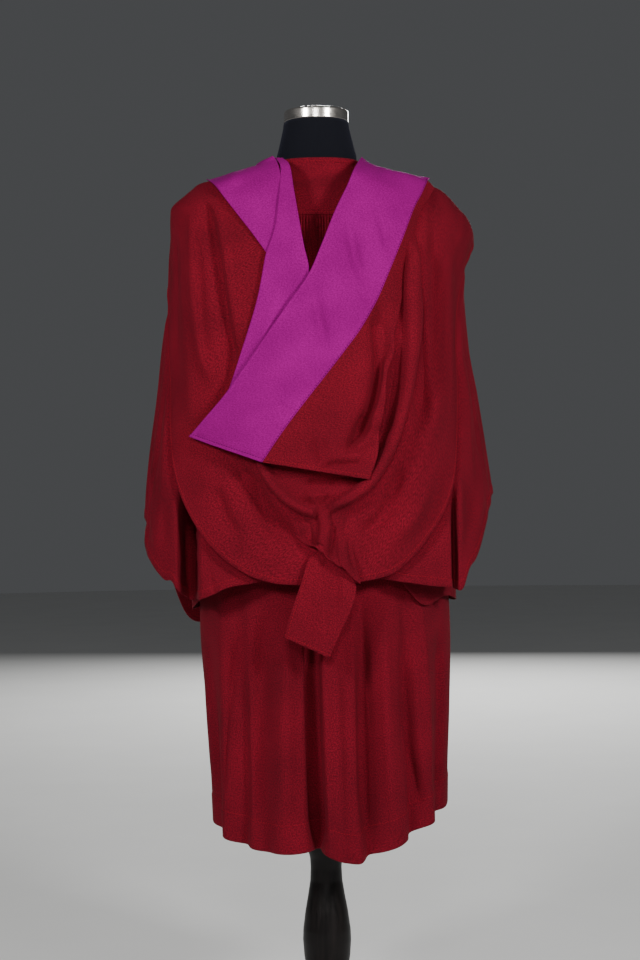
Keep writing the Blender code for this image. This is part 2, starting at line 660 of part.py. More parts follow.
def spread(start, end, count, power=1.0):
    """Values from start to end, closer together near the start for a power over 1."""
    return [start + (end - start) * (i / count) ** power for i in range(count + 1)]


def make_yoke(collection):
    """Yoke over the shoulder blades, from the neck edge to the gathered seam."""
    rows = []
    for z in UPPER_HEIGHTS + (YOKE_SEAM_HEIGHT + SEAM_GAP,):
        edge = armhole_angle(z)
        rows.append([body_point(angle, z) for angle in spread(-edge, edge, YOKE_COLUMNS)])
    return cloth("gown_yoke", rows, CRIMSON, collection)


def make_back(collection):
    """Back panel, gathered in flutes into the yoke seam and falling in large folds."""
    fine = FLUTE_COUNT * SAMPLES_PER_FLUTE
    outer_rows, inner_rows = [], []
    for z in FLUTE_HEIGHTS:
        edge = armhole_angle(z)
        fade = (YOKE_SEAM_HEIGHT - z) / (YOKE_SEAM_HEIGHT - FLUTE_HEIGHTS[-1])
        depth = FLUTE_DEPTH * (1.0 - FLUTE_FADE * fade)
        row = []
        for i, angle in enumerate(spread(-edge, edge, fine)):
            wave = math.cos(2.0 * math.pi * i / SAMPLES_PER_FLUTE)
            row.append(body_point(angle, z, depth * wave))
        outer_rows.append(row)
        plain = -FLUTED_WALL - depth
        inner_rows.append([body_point(angle, z, plain) for angle in spread(-edge, edge, FLUTE_COUNT)])
    for z in PANEL_HEIGHTS:
        edge = armhole_angle(z) - SIDE_SEAM_ANGLE
        angles = spread(-edge, edge, FLUTE_COUNT)
        outer_rows.append([body_point(angle, z) for angle in angles])
        inner_rows.append([body_point(angle, z, -FLUTED_WALL) for angle in angles])
    return fluted_cloth("gown_back", outer_rows, inner_rows, CRIMSON, collection)


def make_front(name, side, collection):
    """One front, from the shoulder seam and side seam to its open edge."""
    rows = []
    for z in UPPER_HEIGHTS + CHEST_HEIGHTS + PANEL_HEIGHTS:
        if z > SHOULDER_HEIGHT:
            outer = SHOULDER_SEAM_ANGLE + SHOULDER_SEAM_GAP
        else:
            outer = 180.0 - armhole_angle(z) + SIDE_SEAM_ANGLE
        half_gap = read_row(FRONT_GAP, z).half_gap
        inner = 180.0 - math.degrees(math.atan(half_gap / read_row(BODY_SECTIONS, z).front))
        inner = max(inner, outer + FRONT_LEAST_ANGLE)
        rows.append([body_point(side * angle, z) for angle in spread(outer, inner, FRONT_COLUMNS)])
    return cloth(name, rows, CRIMSON, collection, turned=side < 0)


def sleeve_point(rim, share, side):
    """Point of a sleeve on one line from the armhole to the mouth."""
    turn = math.radians(rim.armhole)
    start_angle = 90.0 - ARMHOLE_HALF_ANGLE * math.sin(turn)
    start_z = ARMHOLE_HEIGHT - ARMHOLE_HALF_HEIGHT * math.cos(turn)
    mouth_z = rim.left_z if side < 0 else rim.right_z
    z = start_z + (mouth_z - start_z) * share ** SLEEVE_DROP_POWER
    hang = ease(share / SLEEVE_HANG_SHARE)
    at = (start_angle + (rim.angle - start_angle) * hang) * side
    inner = plain_radius(at, z) + SLEEVE_INNER_CLEARANCE
    hem = read_row(CAPE_HEM, abs(at))
    cape_hem = hem.left_z if side < 0 else hem.right_z
    covered = ease((z - cape_hem + CAPE_COVER_BELOW) / CAPE_COVER_FADE)
    outer = hood_radius(at, z) - SLEEVE_CLEAR - SLEEVE_UNDER_CAPE * covered
    opened = min(1.0, share / SLEEVE_OPEN_SHARE) ** SLEEVE_OPEN_POWER
    radius = inner + (outer - inner) * rim.layer
    radius = (body_radius(at, z) + SLEEVE_HEAD_LIFT) * (1.0 - opened) + radius * opened
    slit = ease((SLEEVE_SLIT_TOP - z) / (SLEEVE_SLIT_TOP - SLEEVE_SLIT_FULL))
    if rim.layer > SLEEVE_OUTER_LAYER:
        radius -= SLEEVE_SLIT_DEPTH * slit * bell(abs(at) - SLEEVE_SLIT_ANGLE, SLEEVE_SLIT_SPREAD)
    centre = read_row(BODY_SECTIONS, z).centre * (1.0 - rim.layer)
    turn = math.radians(at)
    return Vector((centre + radius * math.sin(turn), -radius * math.cos(turn), z))


def make_sleeve(name, side, collection):
    """Bell sleeve, from the armhole down to its open mouth."""
    rows = []
    for share in spread(0.0, 1.0, SLEEVE_ROWS, SLEEVE_ROW_SPACING):
        rows.append([sleeve_point(rim, share, side) for rim in SLEEVE_RIM])
    return cloth(name, rows, CRIMSON, collection, closed=True, turned=side < 0)


def make_cape(collection):
    """Cape of the hood over the shoulders and sleeve heads."""
    angles = [-angle for angle in reversed(CAPE_ANGLES)] + list(CAPE_ANGLES)
    rows = []
    for share in spread(0.0, 1.0, CAPE_ROWS, CAPE_ROW_SPACING):
        row = []
        for angle in angles:
            neck, hem = read_row(CAPE_NECK, abs(angle)), read_row(CAPE_HEM, abs(angle))
            top = neck.left_z if angle < 0 else neck.right_z
            foot = hem.left_z if angle < 0 else hem.right_z
            z = top + (foot - top) * share
            turn = math.radians(angle)
            radius = hood_radius(angle, z)
            if not turned_away(angle):
                radius += line_rise(CAPE_FOLDS, radius * math.sin(turn), z)
            row.append(Vector((radius * math.sin(turn), -radius * math.cos(turn), z)))
        rows.append(row)
    return cloth("hood_cape", rows, CRIMSON, collection)


def halved(rails):
    """Rows of a rail table with one more row midway between each two of one side."""
    rows = [rails[0]]
    for upper, lower in zip(rails, rails[1:]):
        if upper.side == lower.side:
            rows.append(type(upper)(*[(a + b) / 2.0 for a, b in zip(upper, lower)]))
        rows.append(lower)
    return rows


def make_laid(name, rails, columns, folds, finish, collection, inset=0.0, mirror=1.0, fine=False):
    """Hood piece laid on the cape between its two rails."""
    rows = []
    for rail in halved(rails) if fine else rails:
        row = []
        for share in spread(0.0, 1.0, columns):
            x = (rail.left_x + (rail.right_x - rail.left_x) * share) * mirror
            x += inset * (1.0 - share)
            z = rail.left_z + (rail.right_z - rail.left_z) * share
            lift = rail.left_lift + (rail.right_lift - rail.left_lift) * share
            lift += line_rise(folds, x, z) * min(1.0, lift / FULL_FOLD_LIFT)
            row.append(hood_point(x, z, rail.side, lift))
        rows.append(row)
    return cloth(name, rows, finish, collection, turned=mirror < 0)


def make_neckband(name, mirror, collection):
    """Half of the hood's neckband, which meets the other half low on the chest."""
    made = make_laid(name, NECKBAND, 4, (), CRIMSON, collection, mirror=mirror, fine=True)
    made.data.flip_normals()
    return made


def make_form(collection):
    """Jersey-covered body of the dress form, closed at the foot and at the neck."""
    points, faces = [], []
    for section in FORM_SECTIONS:
        for i in range(FORM_SIDES):
            angle = 360.0 * i / FORM_SIDES
            radius = ring_radius(angle, section.half_width, section.half_depth, FORM_ROUNDNESS)
            turn = math.radians(angle)
            y = section.centre_y - radius * math.cos(turn)
            points.append(Vector((radius * math.sin(turn), y, section.z)))
    for level in range(len(FORM_SECTIONS) - 1):
        for i in range(FORM_SIDES):
            here = level * FORM_SIDES + i
            beside = level * FORM_SIDES + (i + 1) % FORM_SIDES
            faces.append((here, beside, beside + FORM_SIDES, here + FORM_SIDES))
    faces.append(tuple(reversed(range(FORM_SIDES))))
    top = (len(FORM_SECTIONS) - 1) * FORM_SIDES
    faces.append(tuple(range(top, top + FORM_SIDES)))
    return add_object("form_torso", points, faces, JERSEY, collection)


def build():
    """Clear the scene and make every piece."""
    for old in list(bpy.data.objects):
        bpy.data.objects.remove(old, do_unlink=True)
    collection = bpy.data.collections.new(OBJECT_NAME)
    bpy.context.scene.collection.children.link(collection)

    make_yoke(collection)
    make_back(collection)
    make_front("gown_front_left", -1, collection)
    make_front("gown_front_right", 1, collection)
    make_sleeve("sleeve_left", -1, collection)
    make_sleeve("sleeve_right", 1, collection)

    make_cape(collection)
    make_laid("hood_cowl_pouch", COWL_POUCH, 15, COWL_FOLDS, CRIMSON, collection)
    make_laid("hood_cowl_flap", COWL_FLAP, 8, FLAP_FOLDS, CRIMSON, collection, inset=FLAP_INSET)
    make_laid("hood_liripipe", LIRIPIPE, 5, LIRIPIPE_FOLDS, CRIMSON, collection)
    make_laid("lining_right", LINING_RIGHT, 6, BAND_FOLDS, MAGENTA, collection)
    make_laid("lining_left_fold", LINING_LEFT_FOLD, 4, (), MAGENTA, collection)
    make_laid("lining_left_shoulder", LINING_LEFT_SHOULDER, 6, (), MAGENTA, collection, fine=True)
    make_neckband("hood_neckband_left", 1.0, collection)
    make_neckband("hood_neckband_right", -1.0, collection)

    make_form(collection)
    turned_piece("neck_cap", CAP_PROFILE, POST_SIDES, CHROME, collection)
    turned_piece("stand_post", POST_PROFILE, POST_SIDES, DARK_WOOD, collection)
    turned_piece("stand_base", BASE_PROFILE, BASE_SIDES, DARK_WOOD, collection)


build()
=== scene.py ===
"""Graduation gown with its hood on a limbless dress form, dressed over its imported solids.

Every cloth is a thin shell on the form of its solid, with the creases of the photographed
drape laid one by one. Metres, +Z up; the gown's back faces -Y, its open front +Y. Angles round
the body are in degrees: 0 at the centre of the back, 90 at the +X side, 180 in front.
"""
import logging
import math
from dataclasses import dataclass, field
from enum import Enum
from typing import Sequence

import bpy
import numpy as np
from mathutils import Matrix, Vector, noise


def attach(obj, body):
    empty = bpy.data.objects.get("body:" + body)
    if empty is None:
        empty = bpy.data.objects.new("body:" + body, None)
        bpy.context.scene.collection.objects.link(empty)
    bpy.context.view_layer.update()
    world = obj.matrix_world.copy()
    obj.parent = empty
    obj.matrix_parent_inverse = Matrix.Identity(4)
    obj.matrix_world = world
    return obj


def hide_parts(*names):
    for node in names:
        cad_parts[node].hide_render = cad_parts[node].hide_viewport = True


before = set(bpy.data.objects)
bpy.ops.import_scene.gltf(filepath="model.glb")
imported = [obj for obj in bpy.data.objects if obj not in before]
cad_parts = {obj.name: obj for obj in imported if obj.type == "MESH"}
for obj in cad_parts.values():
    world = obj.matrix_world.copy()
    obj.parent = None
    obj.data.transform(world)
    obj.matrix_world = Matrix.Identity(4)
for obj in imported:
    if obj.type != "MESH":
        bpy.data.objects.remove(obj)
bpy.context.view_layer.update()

LOG = logging.getLogger("gown")
BODY = "root"
Line = tuple[tuple[float, float], ...]

ROUNDNESS = 2.3
CLOTH_WALL = 0.0018
SATIN_WALL = 0.0014


class Sections:
    """A short table of sizes that is read smoothly between its rows, by column name."""

    def __init__(self, columns: str, *rows: tuple[float, ...]) -> None:
        """Keep the rows and the slopes of each column.

        Args:
            columns: names of the columns; the first is the one that is looked up.
            rows: the table, ordered by its first column.
        """
        self.names = columns.split()
        self.rows = np.array(rows, dtype=float)
        step = np.diff(self.rows[:, 0])[:, None]
        rise = np.diff(self.rows, axis=0) / step
        slopes = np.zeros_like(self.rows)
        slopes[0], slopes[-1] = rise[0], rise[-1]
        same = rise[1:] * rise[:-1] > 0.0
        mean = 2.0 * rise[1:] * rise[:-1] / np.where(same, rise[1:] + rise[:-1], 1.0)
        slopes[1:-1] = np.where(same, mean, 0.0)
        self.slopes = slopes

    def at(self, name: str, where: np.ndarray) -> np.ndarray:
        """Values of one column.

        Args:
            name: the column.
            where: places on the first column.

        Returns:
            The column's value at each place, held at both ends.
        """
        column = self.names.index(name)
        keys = self.rows[:, 0]
        where = np.clip(np.asarray(where, dtype=float), keys[0], keys[-1])
        low = np.clip(np.searchsorted(keys, where, side="right") - 1, 0, len(keys) - 2)
        step = keys[low + 1] - keys[low]
        t = (where - keys[low]) / step
        start, end = self.rows[low, column], self.rows[low + 1, column]
        slope_a, slope_b = self.slopes[low, column] * step, self.slopes[low + 1, column] * step
        return ((2 * t**3 - 3 * t**2 + 1) * start + (t**3 - 2 * t**2 + t) * slope_a
                + (3 * t**2 - 2 * t**3) * end + (t**3 - t**2) * slope_b)


def ease(value: np.ndarray) -> np.ndarray:
    """Smooth step from 0 to 1."""
    value = np.clip(value, 0.0, 1.0)
    return value * value * (3.0 - 2.0 * value)


def bell(offset: np.ndarray, spread: float) -> np.ndarray:
    """Soft hump that is 1 at the middle."""
    return np.exp(-((offset / spread) ** 2))


def through(values: Sequence[float], count: int, wrap: float | None = None) -> np.ndarray:
    """A smooth curve through values at equal steps.

    Args:
        values: what it passes through.
        count: samples between two of them.
        wrap: how much a closed curve gains in one turn, or None for an open one.

    Returns:
        The samples; an open curve has both of its ends.
    """
    v = np.asarray(values, dtype=float)
    if wrap is None:
        v = np.concatenate(([2 * v[0] - v[1]], v, [2 * v[-1] - v[-2]]))
    else:
        v = np.concatenate(([v[-1] - wrap], v, [v[0] + wrap, v[1] + wrap]))
    t = np.arange(count) / count
    a, b, c, d = (v[i:len(v) - 3 + i][:, None] for i in range(4))
    out = 0.5 * (2 * b + (c - a) * t + (2 * a - 5 * b + 4 * c - d) * t**2
                 + (3 * b - a - 3 * c + d) * t**3)
    out = out.ravel()
    return out if wrap is not None else np.append(out, v[-2])


def smooth_noise(points: np.ndarray, scale: float, seed: float) -> np.ndarray:
    """Soft noise from -1 to 1 at points.

    Args:
        points: places, as an array whose last axis is x, y, z.
        scale: lumps for each metre.
        seed: offset that picks the pattern.

    Returns:
        One value for each point.
    """
    flat = points.reshape(-1, 3) * scale + seed
    return np.array([noise.noise(Vector(p)) for p in flat]).reshape(points.shape[:-1])


@dataclass(frozen=True)
class PhotoView:
    """The photographed view: a straight look at the back, slightly rolled."""

    distance: float = 3.4
    focal_px: float = 1850.0
    eye_height: float = 1.008
    side_step: float = -0.0018
    roll: float = math.radians(0.77)
    width: int = 640
    height: int = 960

    def project(self, points: np.ndarray) -> tuple[np.ndarray, np.ndarray]:
        """Picture position of points.

        Args:
            points: places, as an array whose last axis is x, y, z.

        Returns:
            Their columns and rows in the picture, in pixels.
        """
        scale = self.focal_px / (points[..., 1] + self.distance)
        across = (points[..., 0] - self.side_step) * scale
        down = (self.eye_height - points[..., 2]) * scale
        turn_c, turn_s = math.cos(self.roll), math.sin(self.roll)
        return (self.width / 2 + across * turn_c + down * turn_s,
                self.height / 2 + down * turn_c - across * turn_s)

    def place_camera(self) -> None:
        """Make the camera of this view and use it."""
        lens = bpy.data.cameras.new("photo_camera")
        lens.sensor_fit = "VERTICAL"
        lens.sensor_height = 36.0
        lens.lens = self.focal_px / self.height * lens.sensor_height
        camera = bpy.data.objects.new("photo_camera", lens)
        camera.location = (self.side_step, -self.distance, self.eye_height)
        camera.rotation_euler = (math.radians(90.0), self.roll, 0.0)
        bpy.context.scene.collection.objects.link(camera)
        bpy.context.scene.camera = camera


VIEW = PhotoView()
MM_PER_PX = 1.84


class Profile(Enum):
    """Cross section of a crease."""

    SOFT = "soft"
    SHARP = "sharp"
    ROLL = "roll"
    LEDGE = "ledge"


@dataclass(frozen=True)
class Crease:
    """A crease of the drape, along a line in the picture.

    width is in millimetres to one side, rise in millimetres, and tail says which share of
    the line's length each of its ends takes to fade. A LEDGE is raised on the left of the
    line as it runs, and drops at the line.
    """

    line: Line
    width: float
    rise: float
    profile: Profile = Profile.SOFT
    tail: float = 0.35

    def relief(self, px: np.ndarray, py: np.ndarray) -> np.ndarray:
        """Height of the crease at picture positions.

        Args:
            px: picture columns.
            py: picture rows.

        Returns:
            Heights in metres.
        """
        points = np.stack([through(values, 3) for values in zip(*self.line)], axis=-1)
        runs = np.diff(points, axis=0)
        lengths = np.hypot(runs[:, 0], runs[:, 1])
        total, passed = lengths.sum(), 0.0
        nearest = np.full(px.shape, 1e9)
        signed, place = np.zeros(px.shape), np.zeros(px.shape)
        for start, run, length in zip(points, runs, lengths):
            dx, dy = px - start[0], py - start[1]
            share = np.clip((dx * run[0] + dy * run[1]) / length**2, 0.0, 1.0)
            gap = np.hypot(dx - run[0] * share, dy - run[1] * share)
            side = np.sign(dx * run[1] - dy * run[0])
            closer = gap < nearest
            nearest = np.where(closer, gap, nearest)
            signed = np.where(closer, gap * side, signed)
            place = np.where(closer, (passed + share * length) / total, place)
            passed += length
        away = nearest * MM_PER_PX / self.width
        if self.profile is Profile.SOFT:
            shape = np.exp(-away**2)
        elif self.profile is Profile.SHARP:
            shape = np.exp(-away)
        elif self.profile is Profile.ROLL:
            shape = np.sqrt(np.clip(1.0 - away**2, 0.0, 1.0)) ** 0.8
        else:
            offset = signed * MM_PER_PX
            shape = np.exp(-np.clip(offset, 0.0, None) / self.width) * ease((offset + 1.2) / 2.4)
        return shape * ease(np.minimum(place, 1.0 - place) / self.tail) * self.rise / 1000.0


def relief_of(creases: Sequence[Crease], points: np.ndarray) -> np.ndarray:
    """Sum of creases at points of a cloth that faces the picture; rolls merge.

    Args:
        creases: the creases.
        points: places, as an array whose last axis is x, y, z.

    Returns:
        Heights in metres.
    """
    px, py = VIEW.project(points)
    total, roll = np.zeros(px.shape), np.zeros(px.shape)
    for crease in creases:
        if crease.profile is Profile.ROLL:
            roll = np.maximum(roll, crease.relief(px, py))
        else:
            total += crease.relief(px, py)
    return total + roll


# ---- Forms -------------------------------------------------------------------------


def ring_radius(angle: np.ndarray, half_width: np.ndarray, depth: np.ndarray,
                power: float = ROUNDNESS) -> np.ndarray:
    """Distance from the axis to a rounded ring.

    Args:
        angle: direction in degrees.
        half_width: reach of the ring to the side.
        depth: reach of the ring to the back or front.
        power: 2 for an ellipse, more for a squarer ring.

    Returns:
        The distances.
    """
    turn = np.radians(angle)
    across = np.abs(np.sin(turn)) / half_width
    along = np.abs(np.cos(turn)) / depth
    return (across**power + along**power) ** (-1.0 / power)


def polar(angle: np.ndarray, radius: np.ndarray, z: np.ndarray, centre: np.ndarray) -> np.ndarray:
    """Points from directions, distances and heights about a centre line."""
    turn = np.radians(angle)
    return np.stack([centre + radius * np.sin(turn), -radius * np.cos(turn), z + 0.0 * radius], axis=-1)


@dataclass(frozen=True)
class GownForm:
    """Form of the gown's body, with the large folds of its skirt."""

    hem_height: float = 0.358
    hem_reach: float = 0.24
    fold_hold: float = 1.25
    sections: Sections = Sections(
        "z centre half_width back front",
        (0.340, 0.009, 0.214, 0.184, 0.152), (0.500, 0.009, 0.2177, 0.181, 0.150),
        (0.600, 0.008, 0.2223, 0.176, 0.149), (0.750, 0.004, 0.2297, 0.166, 0.147),
        (0.850, 0.002, 0.2260, 0.158, 0.145), (1.000, 0.000, 0.2120, 0.147, 0.141),
        (1.150, 0.000, 0.2000, 0.137, 0.136), (1.300, 0.000, 0.1890, 0.127, 0.130),
        (1.380, 0.000, 0.1850, 0.121, 0.124), (1.450, 0.000, 0.1880, 0.112, 0.112),
        (1.500, 0.000, 0.1950, 0.101, 0.096), (1.530, 0.000, 0.1900, 0.090, 0.083),
        (1.538, 0.000, 0.1760, 0.087, 0.080), (1.548, 0.000, 0.1400, 0.0828, 0.076),
        (1.558, 0.000, 0.1080, 0.0793, 0.0725), (1.569, 0.000, 0.0865, 0.0763, 0.0693),
        (1.580, 0.000, 0.0790, 0.0735, 0.0665), (1.590, 0.000, 0.0775, 0.0720, 0.0650))
    hem: Sections = Sections(
        "angle z",
        (-180, 0.362), (-170, 0.362), (-130, 0.376), (-110, 0.388), (-90, 0.392), (-65, 0.381),
        (-50, 0.367), (-35, 0.358), (-20, 0.358), (-8, 0.362), (0, 0.352), (8, 0.343),
        (15, 0.339), (24, 0.353), (32, 0.363), (42, 0.375), (52, 0.396), (62, 0.409),
        (75, 0.415), (90, 0.424), (110, 0.405), (130, 0.378), (180, 0.362))
    # angle, spread in degrees, rise at the hem, height where it has faded
    folds: tuple[tuple[float, float, float, float], ...] = (
        (-8.0, 3.2, -0.030, 0.98), (4.0, 6.0, 0.012, 0.90), (22.0, 4.0, -0.020, 0.92),
        (34.0, 6.0, 0.010, 0.90), (46.0, 3.4, -0.015, 1.00), (54.0, 4.0, 0.012, 0.96),
        (66.0, 5.0, -0.012, 0.88), (-24.0, 7.0, 0.010, 0.86), (-36.0, 5.0, -0.008, 0.84),
        (-49.0, 4.0, -0.013, 0.98), (-58.0, 4.5, 0.010, 0.94), (-70.0, 5.0, -0.010, 0.86),
        (104.0, 6.0, -0.014, 1.05), (118.0, 6.0, 0.012, 0.98), (134.0, 6.0, -0.015, 1.10),
        (150.0, 6.0, 0.012, 1.00), (-104.0, 6.0, -0.013, 0.98), (-120.0, 6.0, 0.013, 1.05),
        (-137.0, 6.0, -0.014, 1.05), (-152.0, 6.0, 0.011, 0.96))

    def plain_radius(self, angle: np.ndarray, z: np.ndarray) -> np.ndarray:
        """Outer face without its folds, by direction and height."""
        front = np.cos(np.radians(angle)) < 0.0
        depth = np.where(front, self.sections.at("front", z), self.sections.at("back", z))
        return ring_radius(angle, self.sections.at("half_width", z), depth)

    def radius(self, angle: np.ndarray, z: np.ndarray) -> np.ndarray:
        """Outer face with its large folds, by direction and height."""
        radius = self.plain_radius(angle, z)
        for middle, spread, rise, fades_at in self.folds:
            share = ease((fades_at - z) / (fades_at - self.hem_height) * self.fold_hold)
            radius = radius + rise * share * bell(angle - middle, spread)
        return radius

    def points(self, angle: np.ndarray, z: np.ndarray, lift: np.ndarray | float = 0.0) -> np.ndarray:
        """Points of the body; its lowest rows follow the hem.

        Args:
            angle: directions in degrees.
            z: heights.
            lift: distance outwards from the face.

        Returns:
            The points.
        """
        follows = ease(1.0 - (z - self.hem_height) / self.hem_reach)
        level = z + (self.hem.at("z", angle) - self.hem_height) * follows
        return polar(angle, self.radius(angle, z) + lift, level, self.sections.at("centre", z))


@dataclass(frozen=True)
class HoodForm:
    """Form of the hood's cape, on which every other hood piece lies."""

    normal_step: float = 0.004
    sections: Sections = Sections(
        "z left right back front",
        (0.300, 0.330, 0.322, 0.212, 0.160), (0.850, 0.330, 0.320, 0.208, 0.158),
        (0.940, 0.3226, 0.314, 0.206, 0.156), (1.050, 0.3100, 0.299, 0.202, 0.154),
        (1.160, 0.2940, 0.284, 0.196, 0.152), (1.250, 0.2835, 0.270, 0.189, 0.150),
        (1.340, 0.2740, 0.2665, 0.179, 0.148), (1.410, 0.2710, 0.2770, 0.166, 0.142),
        (1.450, 0.2700, 0.2853, 0.157, 0.134), (1.477, 0.2712, 0.2780, 0.149, 0.126),
        (1.504, 0.2700, 0.2570, 0.140, 0.116), (1.533, 0.2411, 0.2290, 0.128, 0.104),
        (1.541, 0.2309, 0.2080, 0.1235, 0.1005), (1.549, 0.2206, 0.1776, 0.119, 0.097),
        (1.552, 0.1984, 0.1650, 0.117, 0.0957), (1.558, 0.1720, 0.1350, 0.1125, 0.093),
        (1.565, 0.1376, 0.1136, 0.1075, 0.0895), (1.570, 0.1255, 0.1000, 0.104, 0.087),
        (1.577, 0.1093, 0.0890, 0.0991, 0.0835), (1.588, 0.0940, 0.0825, 0.0905, 0.078),
        (1.602, 0.0840, 0.0790, 0.080, 0.071))

    def radius(self, angle: np.ndarray, z: np.ndarray) -> np.ndarray:
        """Outer face by direction and height."""
        front = np.cos(np.radians(angle)) < 0.0
        half = np.where(angle > 0, self.sections.at("right", z), self.sections.at("left", z))
        depth = np.where(front, self.sections.at("front", z), self.sections.at("back", z))
        return ring_radius(angle, half, depth)

    def level(self, x: np.ndarray, y: np.ndarray, z: np.ndarray) -> np.ndarray:
        """1 on the face, less inside it and more outside it."""
        half = np.where(x > 0, self.sections.at("right", z), self.sections.at("left", z))
        depth = np.where(y > 0, self.sections.at("front", z), self.sections.at("back", z))
        return ((np.abs(x) / half) ** ROUNDNESS + (np.abs(y) / depth) ** ROUNDNESS) ** (1.0 / ROUNDNESS)

    def points(self, x: np.ndarray, z: np.ndarray, side: int, lift: np.ndarray) -> np.ndarray:
        """Points raised off the face along its outward direction.

        Args:
            x: places across.
            z: heights.
            side: -1 behind the shoulders, 1 in front of them.
            lift: distance outwards.

        Returns:
            The points.
        """
        half = np.where(x > 0, self.sections.at("right", z), self.sections.at("left", z))
        depth = self.sections.at("front" if side > 0 else "back", z)
        share = np.minimum(1.0, np.abs(x) / half)
        y = side * depth * (1.0 - share**ROUNDNESS) ** (1.0 / ROUNDNESS)
        s = self.normal_step
        out = np.stack([self.level(x + s, y, z) - self.level(x - s, y, z),
                        self.level(x, y + s, z) - self.level(x, y - s, z),
                        self.level(x, y, z + s) - self.level(x, y, z - s)], axis=-1)
        out /= np.linalg.norm(out, axis=-1, keepdims=True)
        return np.stack([x, y, z], axis=-1) + out * lift[..., None]


GOWN = GownForm()
HOOD = HoodForm()


# ---- Finishes ----------------------------------------------------------------------


class NodeSheet:
    """A material's node tree, with short calls that add and join its nodes."""

    def __init__(self, name: str) -> None:
        """Start an empty material with a shader and its output."""
        self.material = bpy.data.materials.new(name)
        self.material.use_nodes = True
        self.nodes = self.material.node_tree.nodes
        self.links = self.material.node_tree.links
        self.shader = self.nodes["Principled BSDF"]

    def add(self, kind: str, **settings: object) -> bpy.types.Node:
        """Add a node.

        Args:
            kind: the node's type.
            settings: its properties, or the values of its inputs by name with _ for a space.

        Returns:
            The node.
        """
        node = self.nodes.new(kind)
        for key, value in settings.items():
            if hasattr(node, key):
                setattr(node, key, value)
            else:
                node.inputs[key.replace("_", " ")].default_value = value
        return node

    def join(self, start: bpy.types.Node, output: str | int, end: bpy.types.Node, entry: str | int) -> None:
        """Link an output to an input."""
        self.links.new(start.outputs[output], end.inputs[entry])

    def ramp(self, source: bpy.types.Node, output: str, *stops: tuple[float, tuple]) -> bpy.types.Node:
        """Colour ramp after a node.

        Args:
            source: the node that drives it.
            output: which of its outputs.
            stops: place and colour of each stop.

        Returns:
            The ramp.
        """
        node = self.nodes.new("ShaderNodeValToRGB")
        ramp = node.color_ramp
        while len(ramp.elements) < len(stops):
            ramp.elements.new(0.5)
        for element, (place, colour) in zip(ramp.elements, stops):
            element.position, element.color = place, (*colour, 1.0)
        self.join(source, output, node, "Fac")
        return node

    def bump(self, height: bpy.types.Node, output: str, strength: float, distance: float,
             below: bpy.types.Node | None = None) -> bpy.types.Node:
        """Bump from a height.

        Args:
            height: the node that gives the height.
            output: which of its outputs.
            strength: share of the bump that shows.
            distance: height of the relief in metres.
            below: a bump that it is laid over.

        Returns:
            The bump.
        """
        node = self.add("ShaderNodeBump", Strength=strength, Distance=distance)
        self.join(height, output, node, "Height")
        if below is not None:
            self.join(below, "Normal", node, "Normal")
        return node


def shade(colour: tuple[float, float, float], share: float) -> tuple[float, float, float]:
    """A colour made darker or lighter by a share."""
    return tuple(min(1.0, c * share) for c in colour)


@dataclass(frozen=True)
class WoollenTwill:
    """Matt woollen twill: a fine diagonal rib, a short nap and slight dye streaks."""

    name: str = "crimson_twill"
    colour: tuple[float, float, float] = (0.192, 0.0036, 0.0150)
    roughness: float = 0.90
    sheen: float = 0.05
    sheen_tint: tuple[float, float, float] = (0.90, 0.06, 0.12)
    rib_scale: float = 420.0
    thread_scale: float = 430.0

    def material(self) -> bpy.types.Material:
        """Make the material."""
        sheet = NodeSheet(self.name)
        uv = sheet.add("ShaderNodeUVMap", uv_map="weave")
        rib = sheet.add("ShaderNodeTexWave", wave_type="BANDS", bands_direction="DIAGONAL",
                        Scale=self.rib_scale, Distortion=0.6, Detail=1.0)
        cross = sheet.add("ShaderNodeTexWave", wave_type="BANDS", bands_direction="X",
                          Scale=self.thread_scale, Distortion=0.4)
        nap = sheet.add("ShaderNodeTexNoise", Scale=1500.0, Detail=3.0, Roughness=0.65)
        dye = sheet.add("ShaderNodeTexNoise", Scale=9.0, Detail=4.0, Roughness=0.55)
        grain = sheet.add("ShaderNodeTexNoise", Scale=400.0, Detail=2.0, Roughness=0.75)
        for node in (rib, cross, nap, dye, grain):
            sheet.join(uv, "UV", node, "Vector")
        tone = sheet.ramp(dye, "Fac", (0.30, shade(self.colour, 0.82)), (0.72, shade(self.colour, 1.16)))
        fleck = sheet.ramp(grain, "Fac", (0.36, (0.36, 0.36, 0.36)), (0.64, (1.0, 1.0, 1.0)))
        weave = sheet.ramp(rib, "Fac", (0.0, (0.80, 0.80, 0.80)), (1.0, (1.10, 1.10, 1.10)))
        first = sheet.add("ShaderNodeMix", data_type="RGBA", blend_type="MULTIPLY")
        first.inputs[0].default_value = 1.0
        sheet.join(tone, "Color", first, 6)
        sheet.join(fleck, "Color", first, 7)
        second = sheet.add("ShaderNodeMix", data_type="RGBA", blend_type="MULTIPLY")
        second.inputs[0].default_value = 1.0
        sheet.join(first, 2, second, 6)
        sheet.join(weave, "Color", second, 7)
        sheet.join(second, 2, sheet.shader, "Base Color")
        low = sheet.bump(rib, "Fac", 0.35, 0.0006)
        mid = sheet.bump(cross, "Fac", 0.20, 0.0003, low)
        high = sheet.bump(grain, "Fac", 0.7, 0.0022, mid)
        top = sheet.bump(nap, "Fac", 0.35, 0.0005, high)
        sheet.join(top, "Normal", sheet.shader, "Normal")
        inputs = sheet.shader.inputs
        inputs["Roughness"].default_value = self.roughness
        inputs["Specular IOR Level"].default_value = 0.12
        inputs["Sheen Weight"].default_value = self.sheen
        inputs["Sheen Roughness"].default_value = 0.45
        inputs["Sheen Tint"].default_value = (*self.sheen_tint, 1.0)
        return sheet.material


